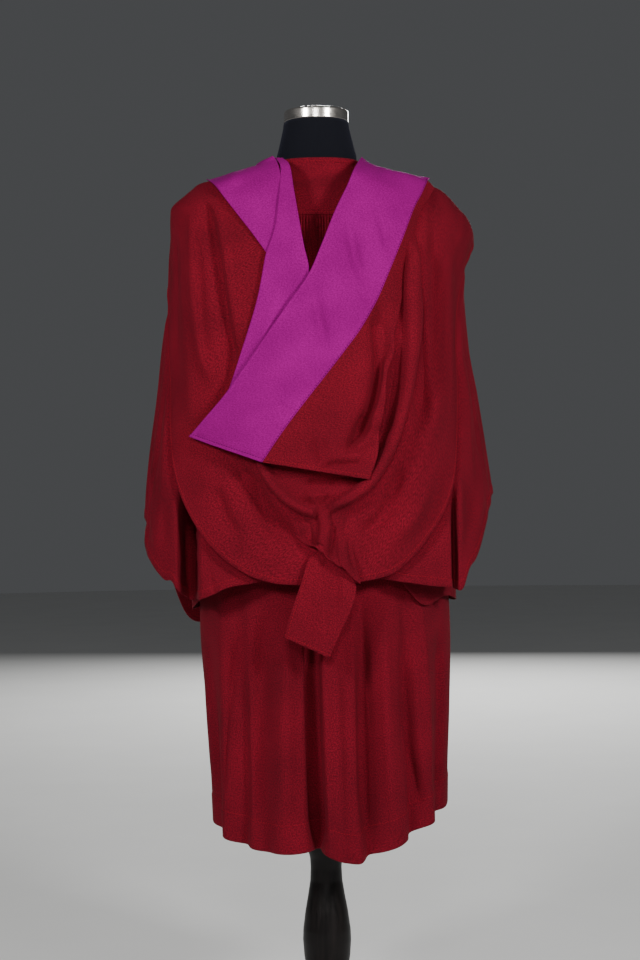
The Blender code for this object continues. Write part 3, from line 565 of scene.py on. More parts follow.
@dataclass(frozen=True)
class Satin:
    """Satin lining: smooth floats that catch a soft light along one way of the cloth."""

    name: str = "magenta_satin"
    colour: tuple[float, float, float] = (0.250, 0.0014, 0.152)
    roughness: float = 0.56

    def material(self) -> bpy.types.Material:
        """Make the material."""
        sheet = NodeSheet(self.name)
        uv = sheet.add("ShaderNodeUVMap", uv_map="weave")
        floats = sheet.add("ShaderNodeTexWave", wave_type="BANDS", bands_direction="Y",
                           Scale=330.0, Distortion=1.2, Detail=2.0)
        slubs = sheet.add("ShaderNodeTexNoise", Scale=380.0, Detail=3.0, Roughness=0.75)
        cast = sheet.add("ShaderNodeTexNoise", Scale=12.0, Detail=3.0)
        for node in (floats, slubs, cast):
            sheet.join(uv, "UV", node, "Vector")
        tone = sheet.ramp(cast, "Fac", (0.30, shade(self.colour, 0.88)), (0.70, shade(self.colour, 1.10)))
        grain = sheet.ramp(slubs, "Fac", (0.36, (0.58, 0.58, 0.58)), (0.64, (1.0, 1.0, 1.0)))
        mixed = sheet.add("ShaderNodeMix", data_type="RGBA", blend_type="MULTIPLY")
        mixed.inputs[0].default_value = 1.0
        sheet.join(tone, "Color", mixed, 6)
        sheet.join(grain, "Color", mixed, 7)
        sheet.join(mixed, 2, sheet.shader, "Base Color")
        low = sheet.bump(floats, "Fac", 0.18, 0.0003)
        top = sheet.bump(slubs, "Fac", 0.25, 0.0003, low)
        sheet.join(top, "Normal", sheet.shader, "Normal")
        inputs = sheet.shader.inputs
        inputs["Roughness"].default_value = self.roughness
        inputs["Anisotropic"].default_value = 0.35
        inputs["Specular IOR Level"].default_value = 0.12
        inputs["Specular Tint"].default_value = (1.0, 0.04, 0.70, 1.0)
        inputs["Sheen Weight"].default_value = 0.02
        inputs["Sheen Roughness"].default_value = 0.35
        inputs["Sheen Tint"].default_value = (0.95, 0.15, 0.75, 1.0)
        return sheet.material


@dataclass(frozen=True)
class Jersey:
    """Black stretch jersey with its fine upright ribs."""

    name: str = "black_jersey_knit"
    colour: tuple[float, float, float] = (0.0026, 0.0028, 0.0052)

    def material(self) -> bpy.types.Material:
        """Make the material."""
        sheet = NodeSheet(self.name)
        uv = sheet.add("ShaderNodeUVMap", uv_map="weave")
        ribs = sheet.add("ShaderNodeTexWave", wave_type="BANDS", bands_direction="X",
                         Scale=210.0, Distortion=0.8, Detail=1.0)
        lint = sheet.add("ShaderNodeTexNoise", Scale=700.0, Detail=4.0, Roughness=0.7)
        for node in (ribs, lint):
            sheet.join(uv, "UV", node, "Vector")
        tone = sheet.ramp(lint, "Fac", (0.35, shade(self.colour, 0.7)), (0.80, shade(self.colour, 1.7)))
        sheet.join(tone, "Color", sheet.shader, "Base Color")
        low = sheet.bump(ribs, "Fac", 0.30, 0.0004)
        top = sheet.bump(lint, "Fac", 0.30, 0.0004, low)
        sheet.join(top, "Normal", sheet.shader, "Normal")
        inputs = sheet.shader.inputs
        inputs["Roughness"].default_value = 0.92
        inputs["Specular IOR Level"].default_value = 0.15
        inputs["Sheen Weight"].default_value = 0.10
        inputs["Sheen Tint"].default_value = (0.30, 0.32, 0.50, 1.0)
        return sheet.material


@dataclass(frozen=True)
class CapMetal:
    """Bright neck cap, turned and polished, with faint turning lines and handling marks."""

    name: str = "polished_cap"
    colour: tuple[float, float, float] = (0.86, 0.80, 0.74)

    def material(self) -> bpy.types.Material:
        """Make the material."""
        sheet = NodeSheet(self.name)
        place = sheet.add("ShaderNodeTexCoord")
        lines = sheet.add("ShaderNodeTexWave", wave_type="BANDS", bands_direction="Z",
                          Scale=420.0, Distortion=0.5, Detail=2.0)
        smudge = sheet.add("ShaderNodeTexNoise", Scale=45.0, Detail=5.0)
        for node in (lines, smudge):
            sheet.join(place, "Object", node, "Vector")
        tone = sheet.ramp(smudge, "Fac", (0.35, shade(self.colour, 0.86)), (0.70, self.colour))
        rough = sheet.add("ShaderNodeMapRange", From_Min=0.3, From_Max=0.7, To_Min=0.13, To_Max=0.27)
        sheet.join(smudge, "Fac", rough, "Value")
        sheet.join(tone, "Color", sheet.shader, "Base Color")
        sheet.join(rough, "Result", sheet.shader, "Roughness")
        sheet.join(sheet.bump(lines, "Fac", 0.06, 0.0002), "Normal", sheet.shader, "Normal")
        sheet.shader.inputs["Metallic"].default_value = 1.0
        return sheet.material


@dataclass(frozen=True)
class LacqueredWood:
    """Near-black lacquered wood whose upright grain still shows through the lacquer."""

    name: str = "lacquered_wood"
    colour: tuple[float, float, float] = (0.0040, 0.0028, 0.0026)

    def material(self) -> bpy.types.Material:
        """Make the material."""
        sheet = NodeSheet(self.name)
        place = sheet.add("ShaderNodeTexCoord")
        stretch = sheet.add("ShaderNodeMapping")
        stretch.inputs["Scale"].default_value = (1.0, 1.0, 0.08)
        sheet.join(place, "Object", stretch, "Vector")
        grain = sheet.add("ShaderNodeTexNoise", Scale=130.0, Detail=6.0, Roughness=0.6, Distortion=0.7)
        pores = sheet.add("ShaderNodeTexNoise", Scale=600.0, Detail=3.0)
        for node in (grain, pores):
            sheet.join(stretch, "Vector", node, "Vector")
        tone = sheet.ramp(grain, "Fac", (0.35, shade(self.colour, 0.55)), (0.70, shade(self.colour, 2.1)))
        rough = sheet.add("ShaderNodeMapRange", From_Min=0.3, From_Max=0.7, To_Min=0.32, To_Max=0.50)
        sheet.join(grain, "Fac", rough, "Value")
        sheet.join(tone, "Color", sheet.shader, "Base Color")
        sheet.join(rough, "Result", sheet.shader, "Roughness")
        low = sheet.bump(grain, "Fac", 0.12, 0.0004)
        sheet.join(sheet.bump(pores, "Fac", 0.10, 0.0002, low), "Normal", sheet.shader, "Normal")
        sheet.shader.inputs["Specular IOR Level"].default_value = 0.16
        sheet.shader.inputs["Coat Weight"].default_value = 0.04
        sheet.shader.inputs["Coat Roughness"].default_value = 0.16
        return sheet.material


@dataclass(frozen=True)
class Thread:
    """Sewing thread with its fine twist."""

    name: str
    colour: tuple[float, float, float]

    def material(self) -> bpy.types.Material:
        """Make the material."""
        sheet = NodeSheet(self.name)
        place = sheet.add("ShaderNodeTexCoord")
        twist = sheet.add("ShaderNodeTexNoise", Scale=2600.0, Detail=2.0)
        sheet.join(place, "Object", twist, "Vector")
        tone = sheet.ramp(twist, "Fac", (0.30, shade(self.colour, 0.75)), (0.70, shade(self.colour, 1.2)))
        sheet.join(tone, "Color", sheet.shader, "Base Color")
        sheet.join(sheet.bump(twist, "Fac", 0.3, 0.0002), "Normal", sheet.shader, "Normal")
        sheet.shader.inputs["Roughness"].default_value = 0.8
        sheet.shader.inputs["Specular IOR Level"].default_value = 0.05
        return sheet.material


@dataclass(frozen=True)
class StudioFloor:
    """Plain pale floor paint."""

    name: str = "pale_floor"
    colour: tuple[float, float, float] = (0.80, 0.80, 0.78)

    def material(self) -> bpy.types.Material:
        """Make the material."""
        sheet = NodeSheet(self.name)
        place = sheet.add("ShaderNodeTexCoord")
        mottle = sheet.add("ShaderNodeTexNoise", Scale=3.0, Detail=3.0)
        sheet.join(place, "Object", mottle, "Vector")
        tone = sheet.ramp(mottle, "Fac", (0.35, shade(self.colour, 0.97)), (0.70, self.colour))
        sheet.join(tone, "Color", sheet.shader, "Base Color")
        sheet.shader.inputs["Roughness"].default_value = 0.8
        return sheet.material


# ---- Cloth shells ------------------------------------------------------------------


def grid_normals(grid: np.ndarray, closed: bool, flip: bool) -> np.ndarray:
    """Outward directions of a grid of points.

    Args:
        grid: points, rows from the top down and columns from left to right.
        closed: whether the columns run round and meet.
        flip: whether the columns run from right to left instead.

    Returns:
        One direction for each point.
    """
    down = np.gradient(grid, axis=0)
    if closed:
        across = np.roll(grid, -1, axis=1) - np.roll(grid, 1, axis=1)
    else:
        across = np.gradient(grid, axis=1)
    out = np.cross(down, across)
    length = np.linalg.norm(out, axis=-1, keepdims=True)
    out /= np.where(length < 1e-12, 1.0, length)
    return -out if flip else out


@dataclass
class Cloth:
    """One piece of cloth: a grid of points thickened inwards into a thin closed shell."""

    name: str
    grid: np.ndarray
    wall: float = CLOTH_WALL
    closed: bool = False
    flip: bool = False
    normals: np.ndarray = field(init=False)

    def __post_init__(self) -> None:
        """Work out the outward directions."""
        self.normals = grid_normals(self.grid, self.closed, self.flip)

    def raise_by(self, relief: np.ndarray) -> None:
        """Move the face outwards by a relief in metres."""
        self.grid = self.grid + self.normals * relief[..., None]
        self.normals = grid_normals(self.grid, self.closed, self.flip)

    def crease(self, creases: Sequence[Crease], limit: float | None = None) -> None:
        """Lay creases in the part of the cloth that faces the picture.

        Args:
            creases: the creases.
            limit: most that the face may sink, in metres.
        """
        relief = relief_of(creases, self.grid) * ease((-self.normals[..., 1] - 0.02) / 0.25)
        if limit is not None:
            relief = np.maximum(relief, -limit)
        self.raise_by(relief)

    def ripple(self, scale: float, height: float, seed: float) -> None:
        """Uneven the face with soft noise.

        Args:
            scale: lumps for each metre.
            height: height of the lumps in metres.
            seed: offset that picks the pattern.
        """
        stretched = self.grid * np.array([1.0, 1.0, 0.45])
        self.raise_by(smooth_noise(stretched, scale, seed) * height)

    def border(self, edge: str, width: float, height: float) -> None:
        """Thicken a turned-in hem along an edge.

        Args:
            edge: bottom, top, left or right.
            width: depth of the hem in metres.
            height: how far it stands proud in metres.
        """
        away = self.distance_from(edge)
        step = ease((width - away) / 0.0025)
        dip = bell(away - width, 0.0016) * 0.5
        self.raise_by(height * (step - dip))

    def distance_from(self, edge: str) -> np.ndarray:
        """Distance of each point from an edge, measured along the cloth.

        Args:
            edge: bottom, top, left or right.

        Returns:
            Distances in metres.
        """
        axis = 0 if edge in ("bottom", "top") else 1
        steps = np.linalg.norm(np.diff(self.grid, axis=axis), axis=-1)
        pad = [(0, 0), (0, 0)]
        if edge in ("top", "left"):
            pad[axis] = (1, 0)
            return np.cumsum(np.pad(steps, pad), axis=axis)
        pad[axis] = (0, 1)
        return np.flip(np.cumsum(np.flip(np.pad(steps, pad), axis=axis), axis=axis), axis=axis)

    def seam_line(self, edge: str, inset: float, start: float = 0.0, end: float = 1.0) -> np.ndarray:
        """Points of a line that runs beside an edge.

        Args:
            edge: bottom, top, left or right.
            inset: distance from the edge in metres.
            start: share of the edge where the line starts.
            end: share of the edge where it ends.

        Returns:
            The points, on the outer face.
        """
        away = self.distance_from(edge)
        grid, out = self.grid, self.normals
        if edge in ("left", "right"):
            away, grid, out = away.T, grid.transpose(1, 0, 2), out.transpose(1, 0, 2)
        if edge in ("bottom", "right"):
            away, grid, out = away[::-1], grid[::-1], out[::-1]
        columns = range(int(start * (grid.shape[1] - 1)), int(end * (grid.shape[1] - 1)) + 1)
        line = []
        for c in columns:
            spot = [np.interp(inset, away[:, c], grid[:, c, k]) for k in range(3)]
            lift = [np.interp(inset, away[:, c], out[:, c, k]) for k in range(3)]
            line.append(np.array(spot) + np.array(lift) * 0.0002)
        return np.array(line)

    def build(self, material: bpy.types.Material) -> bpy.types.Object:
        """Make the shell, with rounded edges and a map of its weave in metres.

        Args:
            material: what it is made of.

        Returns:
            The object, unlinked from any body.
        """
        rows, cols = self.grid.shape[:2]
        inner = self.grid - self.normals * self.wall
        outer_v, inner_v = self.grid.reshape(-1, 3), inner.reshape(-1, 3)
        across = np.linalg.norm(np.diff(self.grid, axis=1), axis=-1)
        u = np.concatenate([np.zeros((rows, 1)), np.cumsum(across, axis=1)], axis=1)
        girth = u[:, -1] + np.linalg.norm(self.grid[:, 0] - self.grid[:, -1], axis=-1)
        girths = np.tile(np.repeat(girth, cols), 2)
        along = np.linalg.norm(np.diff(self.grid, axis=0), axis=-1).mean(axis=1)
        v = np.repeat(-np.concatenate([[0.0], np.cumsum(along)])[:, None], cols, axis=1)
        uv_point = np.stack([u, v], axis=-1).reshape(-1, 2)
        index = np.arange(rows * cols).reshape(rows, cols)
        ring = np.concatenate([index, index[:, :1]], axis=1) if self.closed else index
        a, b = ring[:-1, :-1], ring[1:, :-1]
        c, d = ring[1:, 1:], ring[:-1, 1:]
        quads = np.stack([a, b, c, d], axis=-1).reshape(-1, 4)
        if self.flip:
            quads = quads[:, ::-1]
        count = rows * cols
        faces = [quads, quads[:, ::-1] + count]
        verts, uvs = [outer_v, inner_v], [uv_point, uv_point]
        loops = [ring[0][::-1], ring[-1]]
        if not self.closed:
            loops = [np.concatenate([index[0, ::-1], index[1:, 0], index[-1, 1:], index[-2:0:-1, -1]])]
            loops[0] = np.append(loops[0], loops[0][0])
        first = 2 * count
        for loop in loops:
            if self.flip:
                loop = loop[::-1]
            body = loop[:-1]
            middle = (outer_v[body] + inner_v[body]) / 2.0
            run = np.roll(middle, -1, axis=0) - np.roll(middle, 1, axis=0)
            out = np.cross(run, self.normals.reshape(-1, 3)[body])
            out /= np.maximum(np.linalg.norm(out, axis=-1, keepdims=True), 1e-9)
            verts.append(middle + out * self.wall * 0.45)
            uvs.append(uv_point[body])
            mid = first + np.arange(len(body))
            here, there = body, np.roll(body, -1)
            mid_there = np.roll(mid, -1)
            faces.append(np.stack([here, mid, mid_there, there], axis=-1))
            faces.append(np.stack([mid, here + count, there + count, mid_there], axis=-1))
            first += len(body)
        points, quads = np.concatenate(verts), np.concatenate(faces)
        mesh = bpy.data.meshes.new(self.name)
        mesh.from_pydata(points.tolist(), [], quads.tolist())
        weave = np.concatenate(uvs)[quads]
        if self.closed:
            girths = np.concatenate([girths, girth.repeat(1)[0] * np.ones(cols), girth[-1] * np.ones(cols)])
            wide = np.ptp(weave[..., 0], axis=1) > 0.5 * girth.min()
            low = weave[..., 0] < 0.5 * girth.min()
            weave[..., 0] += girths[quads] * (wide[:, None] & low)
        layer = mesh.uv_layers.new(name="weave")
        layer.data.foreach_set("uv", weave.ravel())
        mesh.shade_smooth()
        mesh.materials.append(material)
        made = bpy.data.objects.new(self.name, mesh)
        bpy.context.scene.collection.objects.link(made)
        return made


# ---- Things made by geometry nodes ------------------------------------------------


class NodeMaker:
    """A geometry node tree with short calls that add and join its nodes."""

    def __init__(self, name: str) -> None:
        """Start an empty tree."""
        self.tree = bpy.data.node_groups.new(name, "GeometryNodeTree")
        self.start: bpy.types.Node | None = None

    def socket(self, name: str, kind: str, output: bool = False) -> None:
        """Declare a socket of the tree."""
        self.tree.interface.new_socket(name=name, in_out="OUTPUT" if output else "INPUT", socket_type=kind)

    def add(self, kind: str, **settings: object) -> bpy.types.Node:
        """Add a node with properties."""
        node = self.tree.nodes.new(kind)
        for key, value in settings.items():
            setattr(node, key, value)
        return node

    def join(self, start: bpy.types.Node, output: str | int, end: bpy.types.Node, entry: str | int) -> None:
        """Link an output to an input."""
        self.tree.links.new(start.outputs[output], end.inputs[entry])

    def calculate(self, operation: str, first: tuple, second: tuple | float | None = None) -> bpy.types.Node:
        """Math node.

        Args:
            operation: what it does.
            first: node and output of the first value.
            second: node and output of the second, or a number.

        Returns:
            The node.
        """
        node = self.add("ShaderNodeMath", operation=operation)
        self.join(first[0], first[1], node, 0)
        if isinstance(second, tuple):
            self.join(second[0], second[1], node, 1)
        elif second is not None:
            node.inputs[1].default_value = second
        return node


def identifier(tree: bpy.types.GeometryNodeTree, name: str) -> str:
    """Identifier of a tree's input."""
    return next(item.identifier for item in tree.interface.items_tree
                if item.item_type == "SOCKET" and item.in_out == "INPUT" and item.name == name)


def bake(carrier: bpy.types.Object, tree: bpy.types.GeometryNodeTree, values: dict[str, object],
         name: str) -> bpy.types.Object:
    """Run a tree on an object and keep its result as a plain mesh.

    Args:
        carrier: the object that the tree runs on; it is removed.
        tree: the tree.
        values: the tree's inputs by name.
        name: name of the result.

    Returns:
        The result.
    """
    step = carrier.modifiers.new("rule", "NODES")
    step.node_group = tree
    for key, value in values.items():
        step[identifier(tree, key)] = value
    carrier.update_tag()
    graph = bpy.context.evaluated_depsgraph_get()
    mesh = bpy.data.meshes.new_from_object(carrier.evaluated_get(graph))
    mesh.name = name
    old = carrier.data
    bpy.data.objects.remove(carrier)
    bpy.data.meshes.remove(old)
    made = bpy.data.objects.new(name, mesh)
    bpy.context.scene.collection.objects.link(made)
    return made


@dataclass
class StitchRunner:
    """Runs of sewing stitches laid along lines on the cloth."""

    pitch: float = 0.0052
    length: float = 0.0038
    thickness: float = 0.0010

    def tree(self) -> bpy.types.GeometryNodeTree:
        """Tree that lays one short stitch at each step of a line.

        Returns:
            The tree, whose inputs are Line, Pitch, Length, Thickness and Thread.
        """
        maker = NodeMaker("stitch_run")
        maker.socket("Line", "NodeSocketGeometry")
        for name in ("Pitch", "Length", "Thickness"):
            maker.socket(name, "NodeSocketFloat")
        maker.socket("Thread", "NodeSocketMaterial")
        maker.socket("Stitches", "NodeSocketGeometry", output=True)
        start, end = maker.add("NodeGroupInput"), maker.add("NodeGroupOutput")
        curve = maker.add("GeometryNodeMeshToCurve")
        steps = maker.add("GeometryNodeResampleCurve", mode="LENGTH")
        bead = maker.add("GeometryNodeMeshUVSphere")
        bead.inputs["Segments"].default_value = 6
        bead.inputs["Rings"].default_value = 4
        bead.inputs["Radius"].default_value = 0.5
        size = maker.add("ShaderNodeCombineXYZ")
        tangent = maker.add("GeometryNodeInputTangent")
        turn = maker.add("FunctionNodeAlignRotationToVector", axis="Z")
        place = maker.add("GeometryNodeInstanceOnPoints")
        real = maker.add("GeometryNodeRealizeInstances")
        smooth = maker.add("GeometryNodeSetShadeSmooth")
        dress = maker.add("GeometryNodeSetMaterial")
        maker.join(start, "Line", curve, "Mesh")
        maker.join(curve, "Curve", steps, "Curve")
        maker.join(start, "Pitch", steps, "Length")
        maker.join(steps, "Curve", place, "Points")
        maker.join(bead, "Mesh", place, "Instance")
        maker.join(start, "Thickness", size, "X")
        maker.join(start, "Thickness", size, "Y")
        maker.join(start, "Length", size, "Z")
        maker.join(size, "Vector", place, "Scale")
        maker.join(tangent, "Tangent", turn, "Vector")
        maker.join(turn, "Rotation", place, "Rotation")
        maker.join(place, "Instances", real, "Geometry")
        maker.join(real, "Geometry", smooth, "Geometry")
        maker.join(smooth, "Geometry", dress, "Geometry")
        maker.join(start, "Thread", dress, "Material")
        maker.join(dress, "Geometry", end, "Stitches")
        return maker.tree

    def sew(self, name: str, lines: Sequence[np.ndarray], thread: bpy.types.Material,
            tree: bpy.types.GeometryNodeTree) -> bpy.types.Object:
        """Sew along lines.

        Args:
            name: name of the stitches.
            lines: the lines, each an array of points.
            thread: what the stitches are made of.
            tree: the tree from this class.

        Returns:
            The stitches as one mesh.
        """
        points: list[list[float]] = []
        edges: list[tuple[int, int]] = []
        for line in lines:
            first = len(points)
            points.extend(line.tolist())
            edges.extend((first + i, first + i + 1) for i in range(len(line) - 1))
        mesh = bpy.data.meshes.new(name)
        mesh.from_pydata(points, edges, [])
        carrier = bpy.data.objects.new(name, mesh)
        bpy.context.scene.collection.objects.link(carrier)
        values = {"Pitch": self.pitch, "Length": self.length, "Thickness": self.thickness, "Thread": thread}
        return bake(carrier, tree, values, name)


@dataclass
class Lathe:
    """Turned pieces: a profile that is turned about the upright axis."""

    sides: int = 96

    def tree(self) -> bpy.types.GeometryNodeTree:
        """Tree that turns the profile of a carrier.

        Returns:
            The tree, whose inputs are Profile, Rings, Sides and Finish.
        """
        maker = NodeMaker("lathe")
        maker.socket("Profile", "NodeSocketGeometry")
        maker.socket("Rings", "NodeSocketInt")
        maker.socket("Sides", "NodeSocketInt")
        maker.socket("Finish", "NodeSocketMaterial")
        maker.socket("Turned", "NodeSocketGeometry", output=True)
        start, end = maker.add("NodeGroupInput"), maker.add("NodeGroupOutput")
        curve = maker.add("GeometryNodeMeshToCurve")
        grid = maker.add("GeometryNodeMeshGrid")
        around = maker.calculate("ADD", (start, "Sides"), 1.0)
        index = maker.add("GeometryNodeInputIndex")
        ring = maker.calculate("FLOOR", (maker.calculate("DIVIDE", (index, "Index"), (around, 0)), 0))
        spoke = maker.calculate("MODULO", (index, "Index"), (around, 0))
        last = maker.calculate("SUBTRACT", (start, "Rings"), 1.0)
        share = maker.calculate("DIVIDE", (ring, 0), (last, 0))
        full = maker.calculate("MULTIPLY", (spoke, 0), 2.0 * math.pi)
        angle = maker.calculate("DIVIDE", (full, 0), (start, "Sides"))
        sample = maker.add("GeometryNodeSampleCurve", mode="FACTOR", data_type="FLOAT_VECTOR", use_all_curves=True)
        parts = maker.add("ShaderNodeSeparateXYZ")
        x = maker.calculate("MULTIPLY", (parts, "X"), (maker.calculate("COSINE", (angle, 0)), 0))
        y = maker.calculate("MULTIPLY", (parts, "X"), (maker.calculate("SINE", (angle, 0)), 0))
        spot = maker.add("ShaderNodeCombineXYZ")
        move = maker.add("GeometryNodeSetPosition")
        merge = maker.add("GeometryNodeMergeByDistance")
        merge.inputs["Distance"].default_value = 0.00002
        smooth = maker.add("GeometryNodeSetShadeSmooth")
        real = maker.add("GeometryNodeRealizeInstances")
        dress = maker.add("GeometryNodeSetMaterial")
        maker.join(start, "Profile", curve, "Mesh")
        maker.join(start, "Rings", grid, "Vertices X")
        maker.join(around, 0, grid, "Vertices Y")
        maker.join(curve, "Curve", sample, "Curves")
        maker.join(share, 0, sample, "Factor")
        maker.join(sample, "Position", parts, 0)
        maker.join(x, 0, spot, "X")
        maker.join(y, 0, spot, "Y")
        maker.join(parts, "Z", spot, "Z")
        maker.join(grid, "Mesh", move, "Geometry")
        maker.join(spot, "Vector", move, "Position")
        maker.join(move, "Geometry", merge, "Geometry")
        maker.join(merge, "Geometry", smooth, "Geometry")
        maker.join(smooth, "Geometry", real, "Geometry")
        maker.join(real, "Geometry", dress, "Geometry")
        maker.join(start, "Finish", dress, "Material")
        maker.join(dress, "Geometry", end, "Turned")
        return maker.tree

    def turn(self, name: str, profile: Sequence[tuple[float, float]], rings: int,
             finish: bpy.types.Material, tree: bpy.types.GeometryNodeTree) -> bpy.types.Object:
        """Turn a piece.

        Args:
            name: name of the piece.
            profile: radius and height of its outer side, from the top down.
            rings: rows of points along the profile.
            finish: what it is made of.
            tree: the tree from this class.

        Returns:
            The piece.
        """
        mesh = bpy.data.meshes.new(name)
        mesh.from_pydata([(r, 0.0, z) for r, z in profile], [(i, i + 1) for i in range(len(profile) - 1)], [])
        carrier = bpy.data.objects.new(name, mesh)
        bpy.context.scene.collection.objects.link(carrier)
        return bake(carrier, tree, {"Rings": rings, "Sides": self.sides, "Finish": finish}, name)


# ---- The garment -------------------------------------------------------------------


def polyline(*points: tuple[float, float]) -> Line:
    """A line from its points."""
    return tuple(points)


def steps(start: float, end: float, count: int, power: float = 1.0) -> np.ndarray:
    """Values from start to end, closer together near the start for a power over 1."""
    return start + (end - start) * (np.arange(count + 1) / count) ** power


def armhole_edge(z: np.ndarray) -> np.ndarray:
    """Angle of the armhole's back edge at a height, or the shoulder seam's above it."""
    across = np.clip((z - 1.436) / 0.100, -1.0, 1.0)
    edge = 90.0 - 30.0 * np.sqrt(1.0 - across * across)
    return np.where(across >= 1.0, 92.0, edge)


@dataclass
class Workshop:
    """What every class shares: the finishes, the stitch tree and the way to ride pieces on the body."""

    red: bpy.types.Material = field(init=False)
    satin: bpy.types.Material = field(init=False)
    jersey: bpy.types.Material = field(init=False)
    metal: bpy.types.Material = field(init=False)
    wood: bpy.types.Material = field(init=False)
    red_thread: bpy.types.Material = field(init=False)
    satin_thread: bpy.types.Material = field(init=False)
    stitcher: StitchRunner = field(default_factory=StitchRunner)
    stitch_tree: bpy.types.GeometryNodeTree = field(init=False)

    def __post_init__(self) -> None:
        """Make the finishes and the tree."""
        self.red = WoollenTwill().material()
        self.satin = Satin().material()
        self.jersey = Jersey().material()
        self.metal = CapMetal().material()
        self.wood = LacqueredWood().material()
        self.red_thread = Thread("red_thread", (0.250, 0.008, 0.018)).material()
        self.satin_thread = Thread("magenta_thread", (0.045, 0.002, 0.034)).material()
        self.stitch_tree = self.stitcher.tree()

    def hand_in(self, piece: bpy.types.Object, slot: str, *nodes: str) -> bpy.types.Object:
        """Ride a piece on the body, hide the solids that it replaces, and log its size.

        Args:
            piece: the piece.
            slot: not used.
            nodes: the solids that it replaces.

        Returns:
            The piece.
        """
        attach(piece, BODY)
        if nodes:
            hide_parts(*nodes)
        area = sum(face.area for face in piece.data.polygons) / 2.0
        LOG.info("%s: %d faces, %.3f square metres a side", piece.name, len(piece.data.polygons), area)
        return piece

    def sew(self, name: str, lines: Sequence[np.ndarray], satin: bool = False) -> bpy.types.Object:
        """Sew stitches along lines and ride them on the body.

        Args:
            name: name of the stitches.
            lines: the lines.
            satin: whether they hold the lining.

        Returns:
            The stitches.
        """
        thread = self.satin_thread if satin else self.red_thread
        made = self.stitcher.sew(name, lines, thread, self.stitch_tree)
        return self.hand_in(made, "magenta_lining" if satin else "crimson_cloth")


SKIRT_CREASES = (
    Crease(polyline((313, 590), (312, 660), (313, 740), (316, 800), (320, 856)), 10, -21, Profile.SHARP, 0.12),
    Crease(polyline((323, 640), (327, 747), (331, 839), (334, 858)), 9, 8, Profile.SHARP, 0.15),
    Crease(polyline((362, 600), (364, 700), (366, 800), (371, 858)), 11, -15, Profile.SHARP, 0.25),
    Crease(polyline((401, 630), (406, 735), (414, 775), (424, 830)), 8, -9, Profile.SHARP, 0.25),
    Crease(polyline((413, 640), (419, 740), (431, 815)), 10, 7, tail=0.25),
    Crease(polyline((440, 620), (441, 720), (438, 815)), 8, -11, tail=0.25),
    Crease(polyline((238, 620), (231, 694), (226, 727), (223, 800)), 8, -9, Profile.SHARP, 0.2),
    Crease(polyline((226, 719), (236, 725), (247, 732)), 5, -4, Profile.SHARP, 0.35),
    Crease(polyline((225, 735), (232, 739), (240, 741)), 4, -3, Profile.SHARP, 0.35),
    Crease(polyline((266, 600), (258, 720), (256, 848)), 16, -9, tail=0.25),
    Crease(polyline((288, 600), (286, 740), (288, 846)), 15, 8, tail=0.25),
    Crease(polyline((206, 640), (211, 730), (217, 810)), 7, 4),
    Crease(polyline((345, 610), (346, 700), (350, 850)), 10, -4),
    Crease(polyline((384, 610), (387, 720), (394, 838)), 12, 7, tail=0.25),
)


class Side(Enum):
    """Side of the gown that a crease is drawn on, as a turn of the view in degrees."""

    BACK = 0
    RIGHT = 90
    FRONT = 180
    LEFT = 270


def turned(points: np.ndarray, side: Side) -> np.ndarray:
    """Points or directions as the picture's view sees them from another side."""
    turn = math.radians(-side.value)
    x, y = points[..., 0], points[..., 1]
    return np.stack([x * math.cos(turn) - y * math.sin(turn),
                     x * math.sin(turn) + y * math.cos(turn), points[..., 2]], axis=-1)


def lay_on_side(cloth: Cloth, creases: Sequence[Crease], side: Side) -> None:
    """Lay creases that are drawn as seen from another side.

    Args:
        cloth: the cloth.
        creases: the creases.
        side: the side that they are drawn on.
    """
    facing = ease((-turned(cloth.normals, side)[..., 1] - 0.02) / 0.25)
    cloth.raise_by(relief_of(creases, turned(cloth.grid, side)) * facing)


FRONT_CREASES = (
    Crease(polyline((268, 300), (262, 420), (250, 600), (244, 840)), 12, -5),
    Crease(polyline((288, 330), (284, 500), (276, 840)), 11, 5),
    Crease(polyline((372, 300), (380, 430), (392, 610), (398, 840)), 12, -6),
    Crease(polyline((352, 330), (358, 520), (364, 840)), 10, 5),
    Crease(polyline((240, 330), (226, 520), (216, 830)), 12, 4),
    Crease(polyline((402, 330), (414, 520), (424, 830)), 12, 4),
    Crease(polyline((300, 640), (302, 740), (298, 850)), 8, -4, Profile.SHARP),
    Crease(polyline((338, 610), (340, 720), (344, 850)), 8, -4, Profile.SHARP),
)


